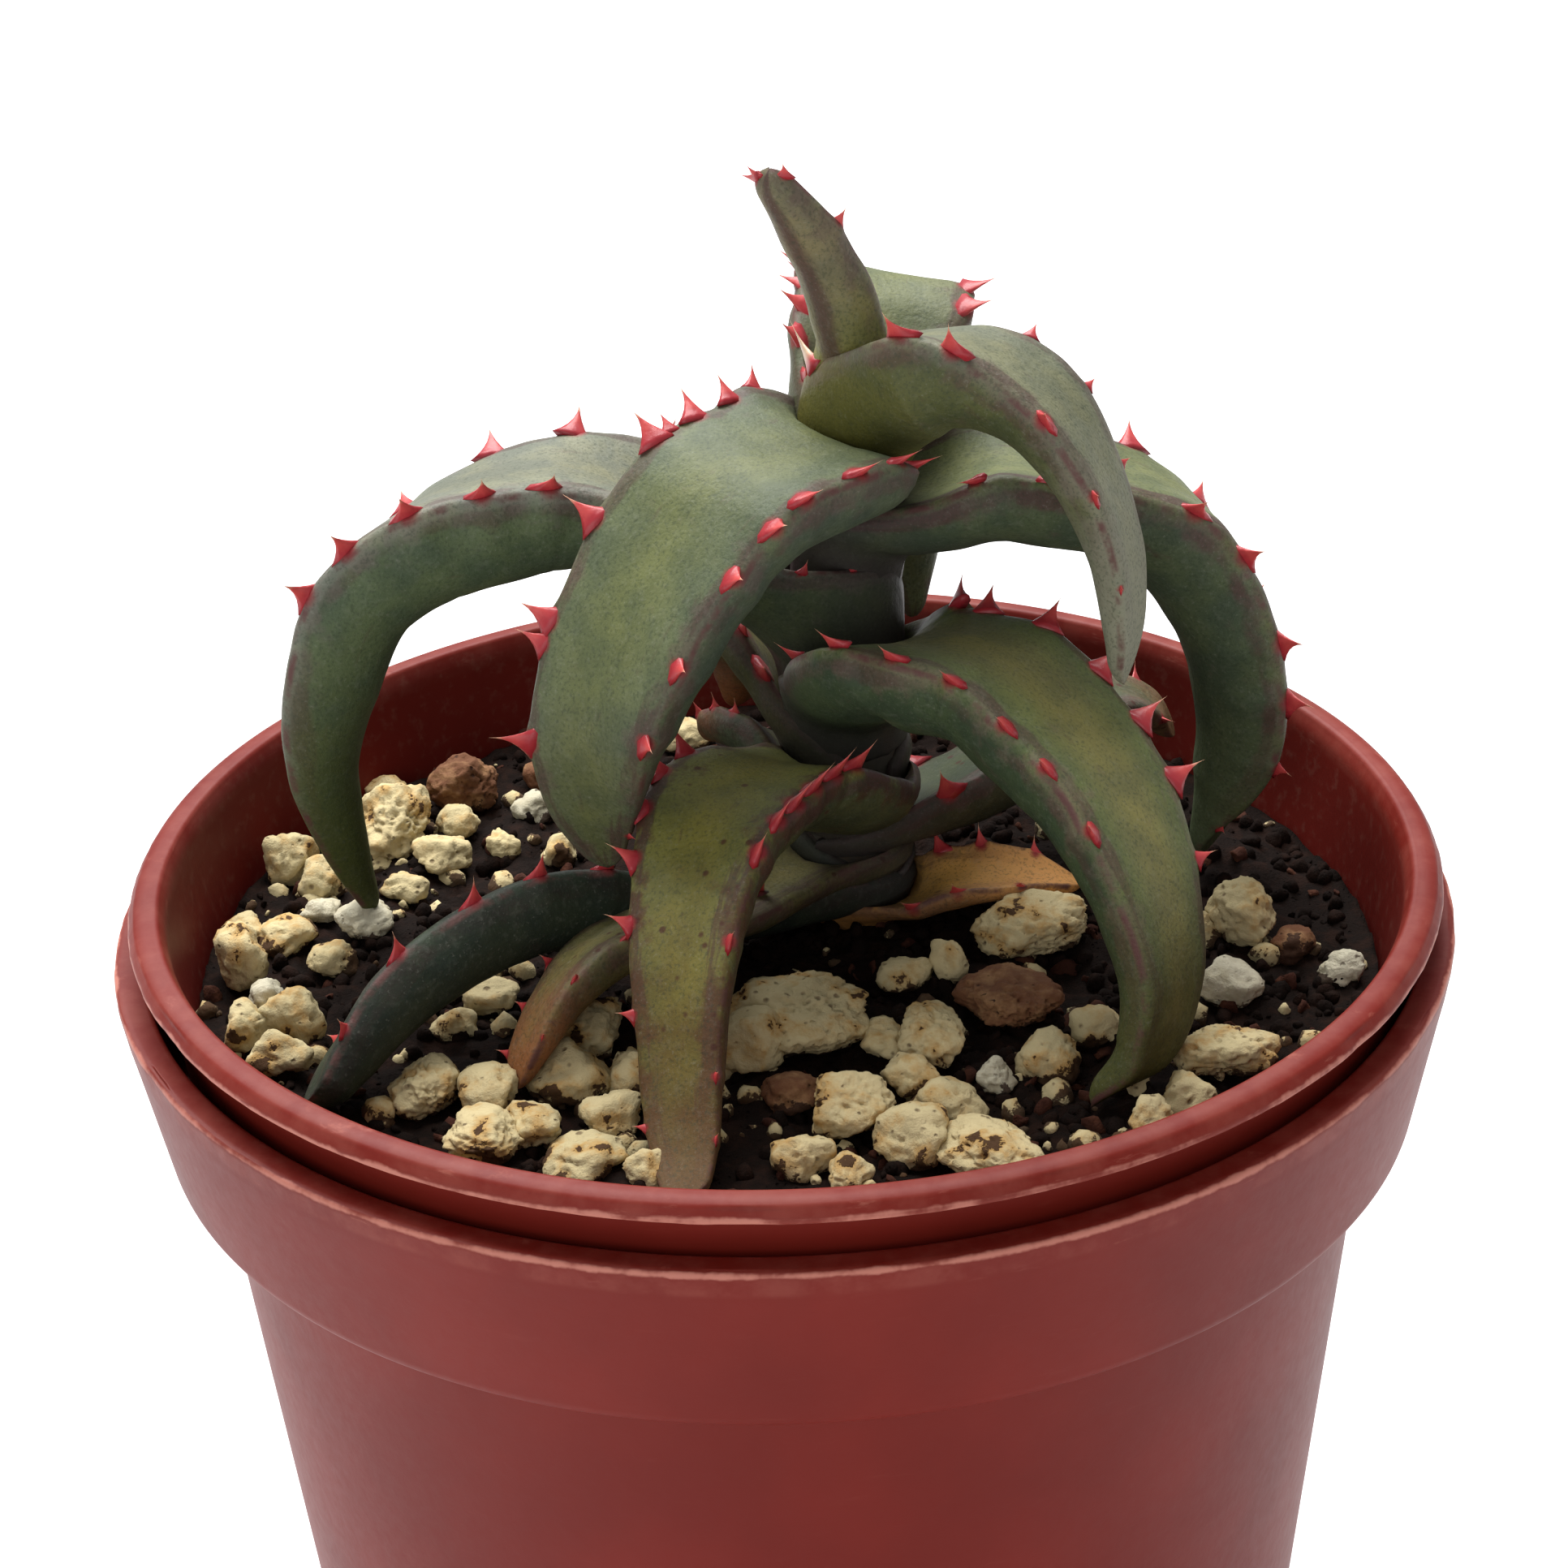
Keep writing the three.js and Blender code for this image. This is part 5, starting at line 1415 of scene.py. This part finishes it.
def blade_rings(leaf, roots, places):
    """The blade's cross-sections, one ring of points at each place."""
    rows, _, side, face = leaf_frames(leaf, places)
    steps = np.linalg.norm(np.diff(rows[:, :3], axis=0), axis=1)
    length = np.concatenate([[0], np.cumsum(steps)])
    to_tip = np.clip((length[-1] - length) / TIP_ROUNDING, 0, 1)
    rounding = np.sqrt(1 - (1 - to_tip) ** 2) * 0.98 + 0.02
    across, below = outline_places()
    swell = np.zeros((len(places), 2))
    for root in roots:
        here = np.interp(root["at"], places, length)
        bump = np.exp(-((length - here) / (THORN_SWELL_REACH * root["size"])) ** 2)
        swell[:, 0 if root["hand"] < 0 else 1] += THORN_SWELL * root["size"] * bump
    rings = []
    for i, row in enumerate(rows):
        width = max(row[3], 1.0) * rounding[i]
        thick = max(row[4], 0.9) * rounding[i]
        margin = min(MARGIN_THICKNESS, thick * MARGIN_SHARE)
        bend = math.radians(max(row[6], 1)) / width
        grown = width / 2 + np.where(across < 0, swell[i, 0], swell[i, 1]) * np.abs(across) ** 3
        turn = bend * across * grown
        top = margin / 2 * (1 - np.sqrt(np.maximum(0, 1 - np.abs(across) ** 6)))
        belly = margin / 2 + (thick - margin / 2) * np.sqrt(np.maximum(0, 1 - across ** 2))
        depth = np.where(below > 0, belly, top)
        sideways = np.sin(turn) / bend + np.sin(turn) * depth
        outwards = (1 - np.cos(turn)) / bend - np.cos(turn) * depth
        rings.append(row[:3] + side[i] * sideways[:, None] + face[i] * outwards[:, None])
    return np.array(rings)


def margin_distance(rings):
    """How far each point is from the nearer margin, round its own cross-section, in millimetres."""
    result = []
    for ring in rings:
        steps = np.linalg.norm(np.roll(ring, -1, axis=0) - ring, axis=1)
        walked = np.concatenate([[0], np.cumsum(steps)])
        total, here, far = walked[-1], walked[:-1], walked[UPPER_POINTS - 1]
        result.append(np.minimum.reduce([here, np.abs(here - far), total - here]))
    return np.array(result)


print("blade builder ready")

# %% Wrap the sheaths
BLADE_START = 6.8
SHEATH_RINGS = 30
SHEATH_WRAP = 168
SLEEVE_SHARE = 0.4
PLAIN_SHEATH = [0.0, 0.0, 0.45]
EASED_BLADE = 12
EASED_ROUNDS = 24


def sheath_rings(leaf, first_ring):
    """Rings that lead from a sleeve round the stem out to the blade's first cross-section."""
    sheath = leaf["sheath"]
    foot, rim, swelling, tilt, filled = sheath + PLAIN_SHEATH[len(sheath) - 2:]
    heading = math.radians(leaf["heading"])
    across, below = outline_places()
    x, y, _ = stem_at(first_ring[:, 2])
    reach = np.hypot(first_ring[:, 0] - x, first_ring[:, 1] - y)
    bearing = np.arctan2(first_ring[:, 1] - y, first_ring[:, 0] - x) - heading
    bearing = (bearing + math.pi) % (2 * math.pi) - math.pi
    wrap = across * math.radians(SHEATH_WRAP)
    sides = across ** 2
    mouth = foot + (1 - sides) * filled * (first_ring[:, 2] - foot) + sides * (rim - tilt * across)
    full = swelling * (1 - sides)
    rings = []
    for step in range(SHEATH_RINGS):
        t = step / SHEATH_RINGS
        up = min(1.0, t / SLEEVE_SHARE)
        out = max(0.0, (t - SLEEVE_SHARE) / (1 - SLEEVE_SHARE))
        z = foot + (mouth - foot) * up
        z = z + (first_ring[:, 2] - z) * out
        x, y, r = stem_at(z)
        skin = np.where(below > 0, 0.3 + (0.75 + full) * up ** 0.5, 0.1 + (0.25 + full) * up)
        angle = wrap + (bearing - wrap) * smooth_step(out ** (1 - 0.3 * sides)) + heading
        radius = r + skin
        radius = radius + (reach - radius) * out ** (1.2 + 1.2 * sides)
        rings.append(np.column_stack([x + radius * np.cos(angle), y + radius * np.sin(angle), z]))
    return np.array(rings)


def eased(rings, first, last, rounds):
    """The rings between two numbers drawn towards their neighbours, to take a kink out."""
    for _ in range(rounds):
        middle = (rings[first - 1:last - 1] + 2 * rings[first:last] + rings[first + 1:last + 1]) / 4
        rings[first:last] = middle
    return rings


def move_to_sheath(roots, rings, start):
    """Sets thorns rooted below the blade on the sheath's margin, pointing out of its mouth."""
    for root in roots:
        if root["at"] >= start:
            continue
        share = SLEEVE_SHARE + (1 - SLEEVE_SHARE) * root["at"] / start
        i = int(round(share * SHEATH_RINGS))
        edge, inner = (0, 2) if root["hand"] < 0 else (UPPER_POINTS - 1, UPPER_POINTS - 3)
        margin = rings[i, edge]
        growing = unit(rings[i + 1, edge] - rings[i - 1, edge])
        x, y, _ = stem_at(margin[2])
        outward = np.cross(growing, np.array([margin[0] - x, margin[1] - y, 0.0]))
        outward = outward * np.sign(outward @ (margin - rings[i, inner]))
        outward = unit(unit(outward) + growing * THORN_LEAN)
        root.update(margin=margin, outward=outward, growing=growing)


def leaf_body(leaf, roots):
    """Points, faces and carried values of a leaf's sheath and blade as one skin."""
    trial = np.linspace(0, 0.5, 200)
    rows = along_rows(leaf["rows"], trial)
    x, y, _ = stem_at(rows[:, 2])
    away = np.hypot(rows[:, 0] - x, rows[:, 1] - y)
    start = float(trial[np.argmax(away > BLADE_START)])
    places = np.linspace(start, 1, LEAF_PLACES)
    blade = blade_rings(leaf, roots, places)
    rings = np.concatenate([sheath_rings(leaf, blade[0]), blade])
    rings = eased(rings, 2, SHEATH_RINGS + EASED_BLADE, EASED_ROUNDS)
    move_to_sheath(roots, rings, start)
    foot = np.concatenate([np.linspace(1, 0.25, SHEATH_RINGS),
                           np.maximum(0, 0.25 - (places - start) * 2)])
    places = np.concatenate([np.linspace(0, start, SHEATH_RINGS, endpoint=False), places])
    across, below = outline_places()
    count = len(across)
    total = len(rings) * count
    faces = turned_over(ring_faces(len(rings), count))
    faces += fan(total, range(count))
    faces += turned_over(fan(total + 1, range(total - count, total)))
    values = {
        "across": np.append(np.tile(across, len(rings)), [0, 0]),
        "along": np.append(np.repeat(places, count), [0, 1]),
        "underside": np.append(np.tile(below, len(rings)), [0, 0]),
        "from_margin": np.append(margin_distance(rings).ravel(), [2, 0]),
        "foot": np.append(np.repeat(foot, count), [1, 0]),
    }
    ends = [rings[0].mean(axis=0), rings[-1].mean(axis=0)]
    return np.vstack([rings.reshape(-1, 3), ends]), faces, values


def weathered(points, values, seed):
    """The points moved by faint dimples, so that highlights break up."""
    moved = points.copy()
    for i, p in enumerate(points):
        home = Vector((p[0] * 0.35, p[1] * 0.35, p[2] * 0.35 + seed))
        amount = 0.16 * min(1.0, 1.5 * (1 - values["along"][i]) + 0.15)
        moved[i] += np.array(noise.noise_vector(home)) * amount
    return moved


print("leaf builders ready")

# %% [markdown]
# ## Colours of each leaf
# The young upper leaves are grey-green and stained purple, the middle ones olive, and the oldest,
# at the bottom, are drying to rust brown. Some of these colours are painted light: the tips of the
# upper right and right back leaves, and the whole small right leaf, are painted paler where they
# lie in shade. What a leaf leaves out is as in the plain leaf.

# %% Name each leaf's colours
PLAIN_LEAF = {"Upper": (98, 106, 82), "Middle": (104, 108, 72), "Lower": (74, 84, 68),
              "Blush": (92, 72, 70), "Old": (128, 84, 52), "Blush amount": 0.5, "Middle amount": 0.8,
              "Old from": 2.0, "Old to": 2.5, "Bloom amount": 0.08, "Spots": 0.0,
              "Smear": (74, 52, 48), "Smear amount": 0.55, "Keel amount": 0.0, "Foot": (72, 66, 66),
              "Fresh to": 0.0}
LEAF_COLOURS = {
    "leaf_left_front": {"Upper": (88, 96, 72), "Middle": (97, 102, 65)},
    "leaf_right_front": {"Upper": (90, 99, 62), "Middle": (120, 113, 70), "Blush": (110, 92, 80),
                         "Lower": (62, 76, 54), "Old": (78, 80, 40), "Old from": 0.6, "Old to": 1.0},
    # painted light: the right back leaf's tip tint is a paler grey-green, where the tip lies in shade
    "leaf_right_back": {"Upper": (93, 99, 68), "Lower": (71, 82, 62), "Old": (88, 100, 70),
                        "Old from": 0.65, "Old to": 1.0, "Foot": (60, 48, 52), "Smear amount": 0.8},
    "leaf_left": {"Upper": (116, 118, 104), "Middle": (112, 112, 94), "Blush": (106, 96, 92),
                  "Lower": (78, 91, 66), "Old": (74, 82, 42), "Old from": 0.55, "Old to": 0.9,
                  "Foot": (60, 48, 52)},
    "leaf_front_low": {"Upper": (106, 106, 58), "Middle": (114, 108, 52), "Lower": (78, 82, 56),
                       "Old from": 0.42, "Old to": 1.0, "Old": (94, 68, 38), "Spots": 0.8,
                       "Blush": (78, 54, 40), "Blush amount": 1.0, "Smear amount": 0.75},
    # painted light: the upper right leaf's tip tint is a pale grey, painted on where the tip lies in
    # shade
    "leaf_upper_right": {"Upper": (106, 108, 90), "Middle": (108, 108, 84), "Lower": (80, 84, 52),
                         "Foot": (104, 98, 40), "Fresh to": 0.32, "Old": (134, 134, 114),
                         "Old from": 0.5, "Old to": 0.95},
    "leaf_top_back": {"Upper": (98, 102, 76), "Lower": (88, 94, 70), "Foot": (96, 92, 66)},
    "leaf_top_upright": {"Upper": (100, 98, 74), "Lower": (111, 104, 80), "Keel amount": 0.85,
                         "Foot": (138, 138, 40), "Fresh to": 0.55, "Smear amount": 0.25},
    "leaf_left_low": {"Upper": (50, 59, 48), "Middle": (50, 60, 47), "Lower": (44, 52, 43),
                      "Blush": (46, 42, 40), "Smear amount": 0.15},
    "leaf_front_left_small": {"Upper": (104, 100, 64), "Middle": (112, 104, 64),
                              "Lower": (92, 86, 56), "Old from": 0.5, "Old to": 0.95,
                              "Old": (136, 88, 52), "Spots": 0.8},
    # painted light: the small right leaf is rust brown, and its colours are raised well above that to
    # make up for the shade it lies in
    "leaf_right_small": {"Upper": (198, 150, 88), "Middle": (208, 158, 84), "Lower": (160, 112, 66),
                         "Old from": 0.2, "Old to": 0.9, "Old": (206, 148, 84), "Spots": 0.5,
                         "Foot": (170, 120, 66)},
    "leaf_back_left": {"Upper": (96, 92, 52), "Middle": (102, 94, 48), "Lower": (74, 76, 46),
                       "Old from": 0.5, "Old to": 1.0},
    "leaf_right_low": {"Upper": (64, 72, 54), "Middle": (66, 74, 50), "Lower": (66, 66, 48),
                       "Old from": 0.6, "Old to": 1.0, "Old": (122, 92, 62), "Spots": 0.8},
    "leaf_back_small": {"Upper": (86, 84, 52), "Old from": 0.5, "Old to": 1.0},
}
print("leaves with colours of their own:", len(LEAF_COLOURS))

# %% Grow the leaves
GLOW_REACH = 1.15
HORN_GLOW = 0.7
LEAF_SEED_STEP = 11.3


def grown_leaf(name, leaf, seed):
    """A finished leaf: blade, sheath and thorns in one mesh."""
    roots = thorn_roots(leaf)
    points, faces, values = leaf_body(leaf, roots)
    points = weathered(points, values, seed)
    glow = np.zeros(len(points))
    for root in roots:
        distance = np.linalg.norm(points - root["margin"], axis=1)
        red = np.exp(-(distance / (GLOW_REACH * root["size"])) ** 2)
        glow = np.maximum(glow, red * (1 - HORN_GLOW * root["horn"]))
    values["thorn_glow"] = glow
    starts = [r["margin"] - r["outward"] * (THORN_SINK - THORN_SWELL) * r["size"] for r in roots]
    count = len(points)
    values = {label: np.append(column, np.zeros(len(roots))) for label, column in values.items()}
    for label, key in (("thorn_size", "size"), ("horn", "horn")):
        values[label] = np.append(np.zeros(count), [root[key] for root in roots])
    mesh = shaped(name + "_blank", np.vstack([points, starts]), faces, values)
    for label in ("outward", "growing"):
        layer = mesh.attributes.new(label, "FLOAT_VECTOR", "POINT")
        column = np.vstack([np.zeros((count, 3)), [root[label] for root in roots]])
        layer.data.foreach_set("vector", column.astype(np.float32).ravel())
    looks = {**PLAIN_LEAF, **LEAF_COLOURS[name]}
    mesh.materials.append(new_material(name + "_skin", leaf_skin, looks, 0.00012, 0.2))
    blank = linked(name + "_blank", mesh)
    plant = blank.modifiers.new("thorns", "NODES")
    set_inputs(plant, planted_thorns, {
        "Length": (THORN_LENGTH + THORN_SINK) * MM, "Root": THORN_ROOT * MM,
        "Half thickness": THORN_HALF_THICKNESS * MM, "Hook": THORN_HOOK * MM,
        "Finish": thorn_finish})
    return place(name + "_grown", baked(blank), [name])


for number, (name, leaf) in enumerate(LEAVES.items()):
    grown = grown_leaf(name, leaf, number * LEAF_SEED_STEP)
    print(name, "triangles:", triangles(grown.data))

# %% [markdown]
# ## Stem
# The stem is short and almost hidden: the leaf sheaths sleeve it from the soil to the top. What
# shows between them is dull green-brown bark with rings left by lost leaves.

# %% Turn the stem
STEM_TURNS = 56
STEM_RINGS = 90


def stem_surface():
    """Points and faces of the ringed stem."""
    points = []
    for z in np.linspace(STEM[0, 2], STEM[-1, 2], STEM_RINGS):
        x, y, r = stem_at(z)
        for cosine, sine in spokes(STEM_TURNS):
            home = Vector((cosine, sine, z * 0.4))
            reach = r + 0.1 + 0.12 * noise.noise(home * 1.7) + 0.08 * math.sin(z * 3.1)
            points.append((x + reach * cosine, y + reach * sine, z))
    faces = ring_faces(STEM_RINGS, STEM_TURNS)
    faces.append(tuple(range(STEM_TURNS))[::-1])
    faces.append(tuple(range(len(points) - STEM_TURNS, len(points))))
    return points, faces


# Pit darkens the stem's pores: partly painted shade
stem_looks = {"Main": (78, 74, 66), "Stain": (104, 82, 60), "Pit": (46, 36, 32),
              "Stain amount": 0.6, "Pit amount": 0.35, "Coarseness": 0.8}
stem_finish = new_material("stem_finish", stone_skin, stem_looks, 0.0001, 0.3)
stem_mesh = shaped("ringed_stem", *stem_surface())
place("ringed_stem", stem_mesh, ["stem"], stem_finish)
print("triangles in the stem:", triangles(stem_mesh))
